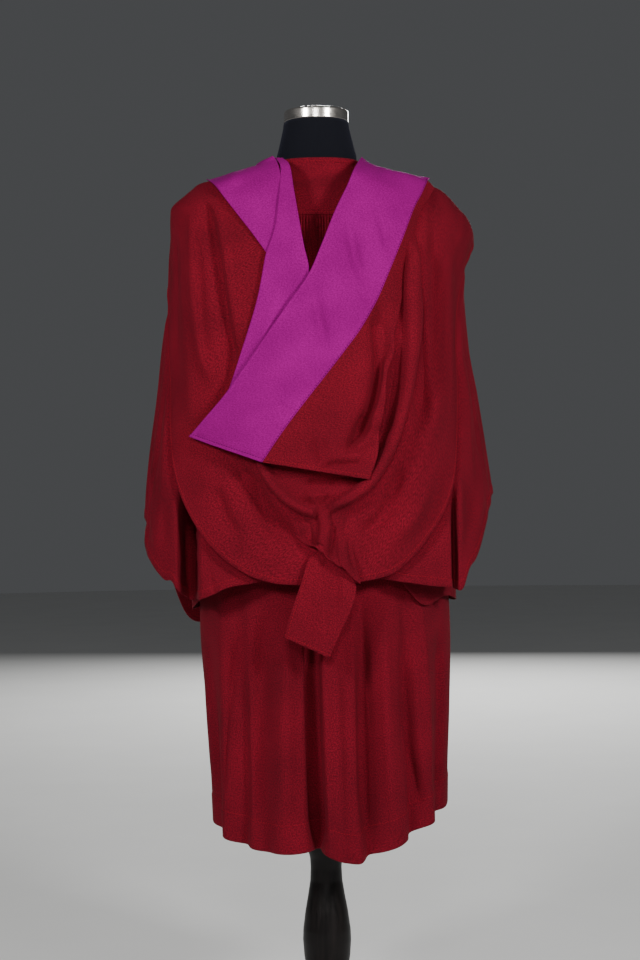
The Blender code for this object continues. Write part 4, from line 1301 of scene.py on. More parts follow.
@dataclass
class Gown:
    """The gown's body: yoke, gathered back panel and two open fronts."""

    shop: Workshop
    yoke_seam: float = 1.481
    seam_gap: float = 0.0006
    flutes: int = 48
    flute_columns: int = 6
    flute_depth: float = 0.0021
    flute_foot: float = 1.330
    back_rows: int = 112
    side_seam: float = 0.16
    hem_depth: float = 0.050
    front_gap: Sections = Sections(
        "z half_gap",
        (0.400, 0.032), (0.700, 0.022), (1.000, 0.012), (1.360, 0.012), (1.440, 0.027),
        (1.520, 0.047), (1.590, 0.068))

    def level_grid(self, heights: np.ndarray, low: np.ndarray, high: np.ndarray, columns: int,
                   lift: np.ndarray | float = 0.0) -> np.ndarray:
        """Grid on the body between two edges.

        Args:
            heights: height of each row.
            low: angle of the first column in each row.
            high: angle of the last column in each row.
            columns: steps across.
            lift: distance off the body.

        Returns:
            The points.
        """
        share = np.linspace(0.0, 1.0, columns + 1)[None, :]
        angle = low[:, None] + (high - low)[:, None] * share
        return GOWN.points(angle, np.repeat(heights[:, None], columns + 1, axis=1), lift)

    def yoke(self) -> Cloth:
        """Yoke over the shoulder blades."""
        heights = np.concatenate([steps(1.588, 1.530, 26), steps(1.528, self.yoke_seam + self.seam_gap, 20)])
        edge = armhole_edge(heights)
        cloth = Cloth("yoke_panel", self.level_grid(heights, -edge, edge, 110))
        cloth.ripple(22.0, 0.0008, 3.1)
        cloth.border("top", 0.010, 0.0010)
        cloth.border("bottom", 0.006, 0.0009)
        return cloth

    def back(self) -> Cloth:
        """Back panel, gathered in fine flutes into the yoke seam."""
        heights = np.concatenate([steps(self.yoke_seam, 1.380, 26), steps(1.372, 0.44, 68),
                                  steps(0.436, 0.358, 16)])
        edge = armhole_edge(heights) - np.where(heights < 1.37, self.side_seam, 0.0)
        columns = self.flutes * self.flute_columns
        share = np.linspace(0.0, 1.0, columns + 1)[None, :]
        top = (heights - self.flute_foot) / (self.yoke_seam - self.flute_foot)
        wander = 0.55 * np.sin(share * 37.0 + top[:, None] * 2.3) + 0.35 * np.sin(share * 83.0)
        uneven = 0.72 + 0.28 * np.sin(share * 61.0 + 1.7)
        wave = np.cos(2.0 * math.pi * self.flutes * share + wander)
        pinch = 1.0 - 0.75 * bell(heights - self.yoke_seam, 0.004)
        lift = wave * uneven * self.flute_depth * (ease(top) * pinch)[:, None]
        cloth = Cloth("back_panel", self.level_grid(heights, -edge, edge, columns, lift))
        cloth.crease(SKIRT_CREASES)
        lay_on_side(cloth, FRONT_CREASES, Side.FRONT)
        cloth.ripple(9.0, 0.0022, 11.4)
        cloth.border("bottom", self.hem_depth, 0.0012)
        return cloth

    def front(self, name: str, side: int) -> Cloth:
        """One front, open along the middle.

        Args:
            name: name of the piece.
            side: -1 or 1, the side it hangs on.

        Returns:
            The cloth.
        """
        heights = np.concatenate([steps(1.588, 1.500, 34), steps(1.495, 0.44, 74), steps(0.436, 0.358, 12)])
        outer = np.where(heights > 1.536, 92.6, 180.0 - armhole_edge(heights) + self.side_seam)
        depth = GOWN.sections.at("front", heights)
        inner = 180.0 - np.degrees(np.arctan(self.front_gap.at("half_gap", heights) / depth))
        inner = np.maximum(inner, outer + 6.0)
        cloth = Cloth(name, self.level_grid(heights, outer * side, inner * side, 90), flip=side < 0)
        cloth.crease(SKIRT_CREASES)
        lay_on_side(cloth, FRONT_CREASES, Side.FRONT)
        cloth.ripple(9.0, 0.0022, 11.4)
        cloth.border("bottom", self.hem_depth, 0.0012)
        cloth.border("right", 0.032, 0.0010)
        return cloth

    def make(self) -> None:
        """Make the pieces with their stitches, and ride them on the body."""
        back, yoke = self.back(), self.yoke()
        panel = self.shop.hand_in(back.build(self.shop.red), "crimson_cloth", "gown_back")
        hem = self.shop.sew("back_hem_stitches", [back.seam_line("bottom", self.hem_depth)])
        top = self.shop.hand_in(yoke.build(self.shop.red), "crimson_cloth", "gown_yoke")
        seam = self.shop.sew("yoke_seam_stitches", [yoke.seam_line("bottom", 0.0045),
                                                    yoke.seam_line("top", 0.006)])
        for word, side in (("left", -1), ("right", 1)):
            front = self.front(f"front_panel_{word}", side)
            made = self.shop.hand_in(front.build(self.shop.red), "crimson_cloth", f"gown_front_{word}")
            sewn = self.shop.sew(f"front_{word}_stitches", [front.seam_line("bottom", self.hem_depth),
                                                            front.seam_line("right", 0.032)])


SLEEVE_CREASES = (
    Crease(polyline((158, 420), (160, 480), (168, 560)), 8, -4),
    Crease(polyline((150, 450), (152, 520), (160, 560)), 7, 3),
    Crease(polyline((186, 500), (188, 545), (190, 600)), 6, -6, Profile.SHARP),
    Crease(polyline((206, 560), (214, 590), (224, 606)), 6, -4),
    Crease(polyline((470, 400), (474, 460), (470, 530)), 9, -4),
    Crease(polyline((480, 440), (482, 490), (474, 536)), 7, 4),
    Crease(polyline((460, 470), (461, 530), (460, 560)), 7, 4),
    Crease(polyline((420, 560), (428, 580), (430, 592)), 6, -4),
)

SIDE_CREASES = (
    Crease(polyline((300, 240), (292, 380), (278, 560)), 14, -8),
    Crease(polyline((322, 230), (320, 400), (316, 600)), 15, 7),
    Crease(polyline((346, 240), (354, 400), (362, 590)), 13, -8),
    Crease(polyline((366, 260), (380, 430), (388, 600)), 12, 6),
    Crease(polyline((280, 300), (262, 440), (252, 560)), 11, 5),
    Crease(polyline((330, 420), (334, 520), (340, 620)), 9, -5),
)


@dataclass
class Sleeves:
    """The two bell sleeves."""

    shop: Workshop
    rows: int = 84
    per_rim: int = 8
    # place across, half width and depth of the gap between the two layers, left and right
    slots: tuple[tuple[float, float, float], ...] = ((0.2345, 0.0150, 0.095), (0.2330, 0.0050, 0.040))
    # angle where it hangs, layer from the inner wall to the outer, angle on the armhole,
    # height of the left and right mouth
    rim: tuple[tuple[float, float, float, float, float], ...] = (
        (31.0, 0.50, 30.0, 0.835, 0.836), (34.0, 0.92, 48.0, 0.830, 0.832),
        (41.0, 1.00, 64.0, 0.824, 0.826), (48.0, 1.00, 78.0, 0.809, 0.821),
        (53.5, 1.00, 92.0, 0.799, 0.818), (56.5, 1.00, 102.0, 0.796, 0.813),
        (59.5, 1.00, 112.0, 0.812, 0.815), (62.5, 1.00, 122.0, 0.834, 0.850),
        (66.0, 1.00, 134.0, 0.837, 0.869), (73.0, 1.00, 148.0, 0.866, 0.926),
        (81.0, 1.00, 164.0, 0.893, 0.960), (89.0, 1.00, 180.0, 0.940, 0.980),
        (97.0, 1.00, 198.0, 0.935, 0.975), (105.0, 1.00, 216.0, 0.868, 0.925),
        (113.0, 1.00, 236.0, 0.757, 0.855), (121.0, 1.00, 258.0, 0.742, 0.795),
        (128.0, 0.92, 284.0, 0.750, 0.775), (131.0, 0.50, 312.0, 0.765, 0.780),
        (125.0, 0.06, 326.0, 0.776, 0.786), (112.0, 0.00, 336.0, 0.780, 0.786),
        (97.0, 0.00, 348.0, 0.774, 0.784), (82.0, 0.00, 360.0, 0.780, 0.790),
        (67.0, 0.00, 371.0, 0.802, 0.799), (53.0, 0.00, 381.0, 0.832, 0.786),
        (40.0, 0.05, 387.0, 0.842, 0.838))

    def grid(self, side: int) -> np.ndarray:
        """Grid of a sleeve from the armhole down to its mouth.

        Args:
            side: -1 or 1.

        Returns:
            The points.
        """
        columns = list(zip(*self.rim))
        angle, layer = through(columns[0], self.per_rim, 0.0), through(columns[1], self.per_rim, 0.0)
        armhole = np.radians(through(columns[2], self.per_rim, 360.0))
        mouth = through(columns[3] if side < 0 else columns[4], self.per_rim, 0.0)
        layer = np.clip(layer, 0.0, 1.0)
        share = steps(0.0, 1.0, self.rows, 1.15)[:, None]
        start_angle = 90.0 - 30.0 * np.sin(armhole)
        start_z = 1.436 - 0.100 * np.cos(armhole)
        z = start_z + (mouth - start_z) * share**1.15
        at = (start_angle + (angle - start_angle) * ease(share / 0.55)) * side
        inner = GOWN.plain_radius(at, z) + 0.012
        covered = ease((z - CAPE.hem_height(at) + 0.06) / 0.05)
        outer = HOOD.radius(at, z) - 0.001 - 0.014 * covered
        opened = np.minimum(1.0, share / 0.22) ** 0.75
        radius = inner + (outer - inner) * layer
        radius = (GOWN.radius(at, z) + 0.0032) * (1.0 - opened) + radius * opened
        centre = GOWN.sections.at("centre", z) * (1.0 - layer)
        points = polar(at, radius, z, centre)
        slot, half, depth = self.slots[0 if side < 0 else 1]
        across = ((np.abs(points[..., 0]) - slot) / half) ** 4
        behind = ease((-points[..., 1] - 0.03) / 0.04)
        slit = ease((1.010 - z) / 0.100) * ease((layer - 0.85) / 0.1) * behind
        points[..., 1] += depth * slit * np.exp(-across)
        return points

    def make(self) -> None:
        """Make both sleeves with their cuff stitches, and ride them on the body."""
        for word, side in (("left", -1), ("right", 1)):
            cloth = Cloth(f"bell_sleeve_{word}", self.grid(side), closed=True, flip=side < 0)
            cloth.crease(SLEEVE_CREASES)
            lay_on_side(cloth, SIDE_CREASES, Side.LEFT if side < 0 else Side.RIGHT)
            cloth.ripple(9.0, 0.0020, 23.0 + side)
            cloth.border("bottom", 0.014, 0.0011)
            made = self.shop.hand_in(cloth.build(self.shop.red), "crimson_cloth", f"sleeve_{word}")
            line = cloth.seam_line("bottom", 0.014)
            sewn = self.shop.sew(f"cuff_stitches_{word}", [np.vstack([line, line[:1]])])


CAPE_CREASES = (
    Crease(polyline((203, 196), (214, 241), (220, 280), (228, 336), (234, 362)), 8, -13, Profile.SHARP, 0.12),
    Crease(polyline((231, 335), (230, 372), (220, 400), (212, 425)), 11, -7, tail=0.25),
    Crease(polyline((213, 200), (224, 250), (232, 300), (241, 345)), 10, 6),
    Crease(polyline((194, 204), (200, 300), (203, 336), (212, 384)), 9, -7),
    Crease(polyline((183, 210), (185, 300), (190, 390), (198, 450)), 12, 4),
    Crease(polyline((174, 225), (176, 320), (178, 430)), 8, -3),
    Crease(polyline((212, 476), (228, 519), (250, 542)), 12, -8),
    Crease(polyline((228, 461), (252, 486), (270, 519), (298, 545), (312, 560)), 16, -15, tail=0.25),
    Crease(polyline((196, 440), (218, 500), (250, 548), (290, 570)), 15, 3),
    Crease(polyline((433, 188), (434, 260), (435, 340), (437, 425)), 7, -8, Profile.SHARP),
    Crease(polyline((399, 232), (400, 262), (400, 300), (398, 350)), 7, -6),
    Crease(polyline((420, 280), (422, 340), (422, 405), (415, 440)), 13, -15, tail=0.25),
    Crease(polyline((432, 440), (424, 490), (404, 530), (376, 556)), 19, 9),
    Crease(polyline((446, 205), (449, 300), (450, 400), (446, 470)), 10, 4),
    Crease(polyline((456, 215), (458, 300), (457, 400)), 7, -3),
    Crease(polyline((404, 460), (388, 508), (356, 542)), 13, -14, tail=0.25),
    Crease(polyline((250, 300), (246, 340), (238, 372)), 10, 3),
)

HOOD_FOLDS: tuple[tuple[Line, float, float], ...] = (
    (((-0.203, 1.510), (-0.192, 1.430), (-0.180, 1.350), (-0.160, 1.230), (-0.148, 1.180)), 0.011, -0.006),
    (((-0.222, 1.500), (-0.216, 1.330), (-0.204, 1.240), (-0.184, 1.170)), 0.012, 0.008),
    (((-0.165, 1.080), (-0.135, 1.010), (-0.102, 0.955), (-0.050, 0.905)), 0.020, -0.007),
    (((-0.198, 1.000), (-0.170, 0.930), (-0.135, 0.895)), 0.014, -0.005),
    (((0.205, 1.540), (0.206, 1.400), (0.205, 1.240)), 0.010, -0.004),
    (((0.180, 1.400), (0.175, 1.280), (0.176, 1.160), (0.190, 1.080)), 0.013, -0.006),
    (((0.196, 1.180), (0.196, 1.040), (0.160, 0.960), (0.110, 0.905)), 0.022, 0.008),
)


def line_rise(folds: Sequence[tuple[Line, float, float]], x: np.ndarray, z: np.ndarray) -> np.ndarray:
    """Rise of a cloth from large folds that follow lines of (x, z) and fade at their ends.

    Args:
        folds: line, half width and rise of each.
        x: places across.
        z: heights.

    Returns:
        The rise in metres.
    """
    total = np.zeros(np.broadcast(x, z).shape)
    for line, spread, rise in folds:
        points = np.array(line)
        runs = np.diff(points, axis=0)
        lengths = np.hypot(runs[:, 0], runs[:, 1])
        nearest, place, passed = np.full(total.shape, 1e9), np.zeros(total.shape), 0.0
        for start, run, length in zip(points, runs, lengths):
            dx, dz = x - start[0], z - start[1]
            share = np.clip((dx * run[0] + dz * run[1]) / length**2, 0.0, 1.0)
            gap = np.hypot(dx - run[0] * share, dz - run[1] * share)
            closer = gap < nearest
            nearest = np.where(closer, gap, nearest)
            place = np.where(closer, (passed + share * length) / lengths.sum(), place)
            passed += length
        total += rise * bell(nearest, spread) * ease(np.minimum(place, 1.0 - place) / 0.14)
    return total


@dataclass
class Cape:
    """The hood's cape, over both shoulders and down the back."""

    rows: int = 116
    columns: int = 250
    edge_angle: float = 132.0
    hem: Sections = Sections(
        "angle left_z right_z",
        (0.0, 0.826, 0.825), (18.0, 0.829, 0.832), (30.0, 0.840, 0.842), (39.0, 0.862, 0.870),
        (46.0, 0.889, 0.905), (52.0, 0.922, 0.943), (57.0, 0.958, 0.989), (60.0, 0.985, 1.037),
        (63.0, 1.020, 1.110), (66.5, 1.077, 1.190), (70.0, 1.155, 1.262), (76.0, 1.240, 1.330),
        (82.0, 1.300, 1.385), (92.0, 1.380, 1.435), (104.0, 1.450, 1.475), (118.0, 1.500, 1.508),
        (132.0, 1.520, 1.522))
    neck: Sections = Sections(
        "angle left_z right_z",
        (0.0, 1.352, 1.352), (2.0, 1.356, 1.352), (7.0, 1.385, 1.358), (13.0, 1.455, 1.420),
        (19.0, 1.520, 1.480), (25.0, 1.550, 1.528), (37.0, 1.575, 1.566), (48.0, 1.584, 1.578),
        (66.0, 1.592, 1.586), (93.0, 1.598, 1.594), (132.0, 1.586, 1.584))

    def hem_height(self, angle: np.ndarray) -> np.ndarray:
        """Height of the lower edge, by direction."""
        away = np.abs(angle)
        return np.where(angle < 0, self.hem.at("left_z", away), self.hem.at("right_z", away))

    def neck_height(self, angle: np.ndarray) -> np.ndarray:
        """Height of the neck edge, by direction."""
        away = np.abs(angle)
        return np.where(angle < 0, self.neck.at("left_z", away), self.neck.at("right_z", away))

    def cloth(self) -> Cloth:
        """The cape as one cloth."""
        angle = np.linspace(-self.edge_angle, self.edge_angle, self.columns + 1)
        share = steps(0.0, 1.0, self.rows, 1.2)[:, None]
        top, foot = self.neck_height(angle), self.hem_height(angle)
        z = top + (foot - top) * share
        angle = np.broadcast_to(angle, z.shape)
        radius = HOOD.radius(angle, z)
        behind = np.cos(np.radians(angle)) > 0.0
        radius = radius + line_rise(HOOD_FOLDS, radius * np.sin(np.radians(angle)), z) * behind
        cloth = Cloth("hood_cape_cloth", polar(angle, radius, z, np.zeros(z.shape)))
        cloth.crease(CAPE_CREASES)
        lay_on_side(cloth, CAPE_SIDE_CREASES, Side.LEFT)
        lay_on_side(cloth, CAPE_SIDE_CREASES, Side.RIGHT)
        cloth.ripple(10.0, 0.0016, 31.0)
        cloth.border("bottom", 0.009, 0.0010)
        return cloth

    def make(self, shop: Workshop) -> None:
        """Make the cape with the stitches along its edge, and ride it on the body."""
        cloth = self.cloth()
        made = shop.hand_in(cloth.build(shop.red), "crimson_cloth", "hood_cape")
        sewn = shop.sew("cape_edge_stitches", [cloth.seam_line("bottom", 0.009)])


CAPE_SIDE_CREASES = (
    Crease(polyline((300, 205), (296, 280), (284, 360)), 12, -4),
    Crease(polyline((322, 200), (322, 260), (326, 330)), 11, 4),
    Crease(polyline((350, 205), (356, 240), (366, 290)), 10, -3),
)
CAPE = Cape()


@dataclass(frozen=True)
class Rails:
    """A laid piece between a left and a right rail, row by row from the top."""

    rows: tuple[tuple[float, ...], ...]
    columns: int
    per_row: int
    mirror: float = 1.0
    inset: float = 0.0

    def grid(self, relief: Sequence[tuple[Line, float, float]] = (), flush: float = 0.0,
             on_cape: float = 0.0) -> np.ndarray:
        """Grid of points on the cape's form, bent softly over the shoulders.

        Args:
            relief: large folds as line, half width and rise.
            flush: width over which both sides come down into the cape, or 0.
            on_cape: share of the cape's own folds that show through.

        Returns:
            The points.
        """
        share = np.linspace(0.0, 1.0, self.columns + 1)
        rows = []
        for number, row in enumerate(self.rows):
            left_x, left_z, right_x, right_z, left_lift, right_lift, side = row
            x = (left_x + (right_x - left_x) * share) * self.mirror + self.inset * (1.0 - share)
            z = left_z + (right_z - left_z) * share
            lift = left_lift + (right_lift - left_lift) * share
            if flush > 0.0:
                near = np.minimum(share, 1.0 - share) * math.hypot(right_x - left_x, right_z - left_z)
                start = min(1.0, 0.3 + number * 0.35)
                sunk = -0.003 + (lift + 0.003) * ease(near / flush) * start
                lift = sunk + (lift - sunk) * ease(np.array((number + 4 - len(self.rows)) / 3.0))
            rows.append(HOOD.points(x, z, int(side), lift))
        coarse = np.array(rows)
        fine = np.stack([np.stack([through(coarse[:, c, k], self.per_row) for k in range(3)], axis=-1)
                         for c in range(self.columns + 1)], axis=1)
        out = grid_normals(fine, False, self.mirror < 0)
        rise = line_rise(relief, fine[..., 0], fine[..., 2])
        if on_cape > 0.0:
            rise = rise + line_rise(HOOD_FOLDS, fine[..., 0], fine[..., 2]) * on_cape
        return fine + out * rise[..., None]


POUCH_CREASES = (
    Crease(polyline((412, 236), (409, 280), (409, 322), (406, 364), (404, 387), (399, 410), (391, 439),
                    (381, 461), (369, 479), (350, 496), (332, 507), (319, 514)), 9.5, 24, Profile.ROLL, 0.08),
    Crease(polyline((260, 456), (266, 469), (274, 483), (287, 498), (303, 509), (319, 514)),
           9.5, 20, Profile.ROLL, 0.08),
    Crease(polyline((319, 506), (325, 522), (324, 538), (321, 556)), 12, 11, Profile.ROLL, 0.2),
    Crease(polyline((335, 524), (333, 544), (330, 562)), 6, -7, Profile.SHARP, 0.25),
    Crease(polyline((344, 532), (342, 548), (345, 566), (352, 580)), 10, 6, Profile.ROLL, 0.3),
    Crease(polyline((311, 518), (309, 532), (310, 548)), 7, -6, tail=0.25),
    Crease(polyline((318, 508), (304, 486)), 5, 5, Profile.SHARP, 0.3),
    Crease(polyline((322, 506), (327, 484)), 5, 5, Profile.SHARP, 0.3),
    Crease(polyline((328, 504), (348, 486)), 5, 5, Profile.SHARP, 0.3),
    Crease(polyline((312, 526), (300, 520), (286, 508)), 6, -3),
    Crease(polyline((336, 520), (360, 504), (380, 484)), 7, -4),
    Crease(polyline((396, 334), (393, 372), (384, 424), (368, 462), (346, 484)), 9, -8, tail=0.25),
    Crease(polyline((421, 262), (421, 322), (416, 376), (408, 424), (394, 462), (372, 492)), 9, -10, tail=0.2),
    Crease(polyline((258, 474), (272, 494), (290, 512), (310, 528)), 8, -10, tail=0.25),
    Crease(polyline((300, 492), (318, 482), (346, 484)), 9, -8, tail=0.3),
    Crease(polyline((296, 500), (318, 494), (350, 492)), 8, 7, tail=0.3),
)

FLAP_CREASES = (
    Crease(polyline((374, 312), (379, 357), (374, 400), (361, 431), (344, 449)), 10, -13, Profile.SHARP, 0.12),
    Crease(polyline((362, 340), (364, 380), (352, 415), (334, 436)), 16, 5),
    Crease(polyline((388, 350), (385, 388), (376, 418), (366, 440)), 10, 13, tail=0.2),
    Crease(polyline((368, 410), (360, 430), (350, 446), (344, 456)), 6, -12, Profile.SHARP, 0.25),
    Crease(polyline((374, 436), (363, 443), (352, 452)), 8, 9, tail=0.3),
    Crease(polyline((316, 470), (330, 466), (346, 465), (368, 463)), 5, -10, Profile.SHARP, 0.25),
    Crease(polyline((320, 461), (336, 457), (352, 457), (366, 456)), 7, 6, tail=0.3),
    Crease(polyline((311, 436), (314, 447), (317, 459), (317, 470)), 5, -8, Profile.SHARP, 0.3),
    Crease(polyline((326, 432), (331, 446), (334, 458)), 10, 6),
    Crease(polyline((300, 440), (303, 452), (304, 464)), 10, 4),
    Crease(polyline((322, 472), (344, 472), (366, 470)), 5, 4, tail=0.25),
)

BAND_CREASES = (
    Crease(polyline((346, 206), (355, 255), (370, 300)), 11, -9, tail=0.45),
    Crease(polyline((376, 200), (386, 236), (394, 262)), 10, -6, tail=0.45),
    Crease(polyline((311, 272), (318, 315), (330, 362)), 12, -8, tail=0.45),
    Crease(polyline((357, 286), (364, 298), (376, 300)), 5, -4, Profile.SHARP, 0.4),
    Crease(polyline((294, 378), (307, 387), (320, 390)), 5, -4, Profile.SHARP, 0.4),
    Crease(polyline((274, 401), (287, 409), (300, 412)), 5, -4, Profile.SHARP, 0.4),
    Crease(polyline((264, 424), (277, 428), (286, 430)), 6, -2, Profile.SHARP, 0.45),
    Crease(polyline((194, 434), (228, 448.5), (265, 459.5)), 2.6, -2.4, Profile.SHARP, 0.04),
    Crease(polyline((336, 246), (302, 320), (262, 385), (222, 432)), 24, 3, tail=0.4),
    Crease(polyline((392, 186), (366, 250), (340, 320), (300, 380)), 16, 2.5, tail=0.4),
)

LEFT_CREASES = (
    Crease(polyline((284, 186), (289, 230), (288, 262)), 7, -2),
    Crease(polyline((283, 270), (268, 325), (246, 372), (230, 396)), 9, 2.5),
    Crease(polyline((300, 250), (284, 310), (262, 340)), 6, -1.6),
    Crease(polyline((250, 182), (262, 215), (271, 242)), 9, -2),
    Crease(polyline((228, 184), (244, 212), (262, 240)), 9, 1.6),
)


@dataclass
class Hood:
    """The hood's cowl with its roll, its turned-out flap and lining, and the neckband."""

    shop: Workshop
    pouch: Rails = Rails((
        (0.0920, 1.5400, 0.1930, 1.5200, 0.0080, 0.0080, -1),
        (0.0830, 1.5130, 0.1920, 1.4950, 0.0075, 0.0075, -1),
        (0.0700, 1.4800, 0.1930, 1.4650, 0.0070, 0.0070, -1),
        (0.0400, 1.4050, 0.1900, 1.4099, 0.0070, 0.0065, -1),
        (0.0100, 1.3350, 0.1880, 1.3207, 0.0070, 0.0060, -1),
        (-0.0300, 1.2650, 0.1830, 1.2325, 0.0080, 0.0060, -1),
        (-0.0700, 1.1824, 0.1760, 1.1449, 0.0085, 0.0060, -1),
        (-0.1000, 1.1200, 0.1600, 1.0754, 0.0080, 0.0060, -1),
        (-0.1180, 1.0787, 0.1440, 1.0420, 0.0060, 0.0060, -1),
        (-0.1130, 1.0404, 0.1240, 1.0130, 0.0060, 0.0060, -1),
        (-0.1040, 1.0000, 0.0960, 0.9861, 0.0060, 0.0060, -1),
        (-0.0860, 0.9640, 0.0720, 0.9540, 0.0055, 0.0060, -1),
        (-0.0640, 0.9350, 0.0580, 0.9270, 0.0055, 0.0060, -1),
        (-0.0420, 0.9120, 0.0520, 0.9020, 0.0080, 0.0070, -1),
        (-0.0180, 0.8990, 0.0560, 0.8660, 0.0150, 0.0120, -1),
        (-0.0040, 0.8880, 0.0640, 0.8290, 0.0220, 0.0200, -1)), 130, 8)
    flap: Rails = Rails((
        (0.1985, 1.5420, 0.2075, 1.5390, 0.007, 0.003, -1),
        (0.1955, 1.5370, 0.2085, 1.5280, 0.008, 0.003, -1),
        (0.1895, 1.5280, 0.2030, 1.5170, 0.010, 0.003, -1),
        (0.1800, 1.5070, 0.1940, 1.5010, 0.012, 0.003, -1),
        (0.1664, 1.4805, 0.1830, 1.4850, 0.014, 0.004, -1),
        (0.1436, 1.4254, 0.1640, 1.4300, 0.017, 0.006, -1),
        (0.1196, 1.3681, 0.1520, 1.3720, 0.020, 0.006, -1),
        (0.0978, 1.3186, 0.1400, 1.3100, 0.023, 0.009, -1),
        (0.0709, 1.2697, 0.1260, 1.2500, 0.025, 0.013, -1),
        (0.0444, 1.2317, 0.1160, 1.1950, 0.027, 0.019, -1),
        (0.0040, 1.1785, 0.1080, 1.1430, 0.029, 0.024, -1),
        (-0.0345, 1.1289, 0.0970, 1.0920, 0.031, 0.027, -1),
        (-0.0661, 1.0846, 0.0930, 1.0480, 0.033, 0.030, -1),
        (-0.0959, 1.0385, 0.0785, 1.0070, 0.034, 0.031, -1)), 110, 9, inset=0.0014)
    band: Rails = Rails((
        (0.0690, 1.5560, 0.1180, 1.5220, 0.0045, 0.0045, 1),
        (0.0740, 1.5760, 0.1600, 1.5370, 0.007, 0.008, 1),
        (0.0750, 1.5850, 0.1985, 1.5420, 0.008, 0.010, -1),
        (0.0735, 1.5800, 0.1955, 1.5370, 0.011, 0.010, -1),
        (0.0720, 1.5720, 0.1895, 1.5280, 0.012, 0.011, -1),
        (0.0640, 1.5480, 0.1800, 1.5070, 0.013, 0.012, -1),
        (0.0526, 1.5203, 0.1664, 1.4805, 0.014, 0.014, -1),
        (0.0307, 1.4740, 0.1436, 1.4254, 0.015, 0.017, -1),
        (0.0072, 1.4164, 0.1196, 1.3681, 0.015, 0.020, -1),
        (-0.0160, 1.3635, 0.0978, 1.3186, 0.015, 0.023, -1),
        (-0.0495, 1.3148, 0.0709, 1.2697, 0.016, 0.025, -1),
        (-0.0882, 1.2598, 0.0444, 1.2317, 0.016, 0.027, -1),
        (-0.1253, 1.2051, 0.0040, 1.1785, 0.016, 0.029, -1),
        (-0.1591, 1.1574, -0.0345, 1.1289, 0.016, 0.031, -1),
        (-0.1913, 1.1200, -0.0661, 1.0846, 0.016, 0.033, -1),
        (-0.2221, 1.0859, -0.0959, 1.0385, 0.014, 0.034, -1)), 84, 14)
    left_fold: Rails = Rails((
        (-0.0720, 1.5850, -0.0600, 1.5830, 0.0060, 0.0050, -1),
        (-0.0630, 1.5580, -0.0475, 1.5618, 0.0090, 0.0090, -1),
        (-0.0665, 1.5050, -0.0410, 1.5170, 0.0095, 0.0095, -1),
        (-0.0727, 1.4550, -0.0340, 1.4725, 0.0090, 0.0090, -1),
        (-0.0830, 1.4200, -0.0250, 1.4180, 0.0090, 0.0080, -1),
        (-0.0900, 1.4000, -0.0161, 1.3644, 0.0090, 0.0070, -1),
        (-0.1053, 1.3222, -0.0290, 1.2900, 0.0085, 0.0065, -1),
        (-0.1324, 1.2355, -0.0800, 1.2050, 0.0080, 0.0060, -1),
        (-0.1595, 1.1577, -0.1380, 1.1500, 0.0075, 0.0060, -1),
        (-0.1702, 1.1458, -0.1530, 1.1370, 0.0070, 0.0060, -1)), 40, 11)
    left_shoulder: Rails = Rails((
        (-0.1180, 1.5220, -0.0690, 1.5560, 0.0045, 0.0045, 1),
        (-0.1660, 1.5410, -0.0740, 1.5760, 0.008, 0.007, 1),
        (-0.1984, 1.5518, -0.0780, 1.5860, 0.008, 0.007, -1),
        (-0.1820, 1.5350, -0.0705, 1.5750, 0.009, 0.009, -1),
        (-0.1634, 1.5100, -0.0650, 1.5480, 0.008, 0.007, -1),
        (-0.1365, 1.4732, -0.0656, 1.5022, 0.006, 0.005, -1),
        (-0.1117, 1.4392, -0.0729, 1.4561, 0.005, 0.005, -1),
        (-0.0891, 1.4061, -0.0855, 1.4114, 0.005, 0.005, -1)), 50, 9)
    liripipe: Rails = Rails((
        (-0.0080, 0.8850, 0.0140, 0.8900, 0.0050, 0.0050, -1),
        (-0.0230, 0.8700, 0.0409, 0.8527, 0.0080, 0.0080, -1),
        (-0.0332, 0.8365, 0.0560, 0.8249, 0.0120, 0.0120, -1),
        (-0.0440, 0.8057, 0.0480, 0.7870, 0.0170, 0.0160, -1),
        (-0.0565, 0.7681, 0.0300, 0.7500, 0.0180, 0.0170, -1),
        (-0.0638, 0.7389, 0.0095, 0.7035, 0.0180, 0.0180, -1)), 44, 12)
    neckband: tuple[tuple[float, ...], ...] = (
        (-0.1470, 1.5340, -0.0770, 1.5740, 0.011, 0.011, 1),
        (-0.1240, 1.5060, -0.0640, 1.5420, 0.009, 0.003, 1),
        (-0.0920, 1.4660, -0.0440, 1.5000, -0.009, -0.012, 1),
        (-0.0510, 1.4190, -0.0220, 1.4620, -0.016, -0.017, 1),
        (-0.0006, 1.3720, -0.0006, 1.4300, -0.018, -0.017, 1))

    def make_pouch(self) -> None:
        """The cowl's body with its rolled fold and the knot below it."""
        cloth = Cloth("cowl_pouch_cloth", self.pouch.grid(flush=0.045, on_cape=0.7))
        cloth.crease(CAPE_CREASES)
        cloth.crease(POUCH_CREASES)
        made = self.shop.hand_in(cloth.build(self.shop.red), "crimson_cloth", "hood_cowl_pouch")

    def make_flap(self) -> None:
        """The red part of the turned-out cowl, with its straight hem."""
        folds = (
            (((0.104, 1.330), (0.114, 1.245), (0.104, 1.165), (0.082, 1.108), (0.052, 1.078)), 0.012, -0.008),
            (((0.128, 1.260), (0.126, 1.190), (0.112, 1.130), (0.094, 1.090)), 0.010, 0.009))
        cloth = Cloth("cowl_flap_cloth", self.flap.grid(folds))
        cloth.crease(FLAP_CREASES)
        cloth.ripple(14.0, 0.0012, 41.0)
        cloth.border("bottom", 0.007, 0.0010)
        made = self.shop.hand_in(cloth.build(self.shop.red), "crimson_cloth", "hood_cowl_flap")
        sewn = self.shop.sew("flap_hem_stitches", [cloth.seam_line("bottom", 0.0065)])

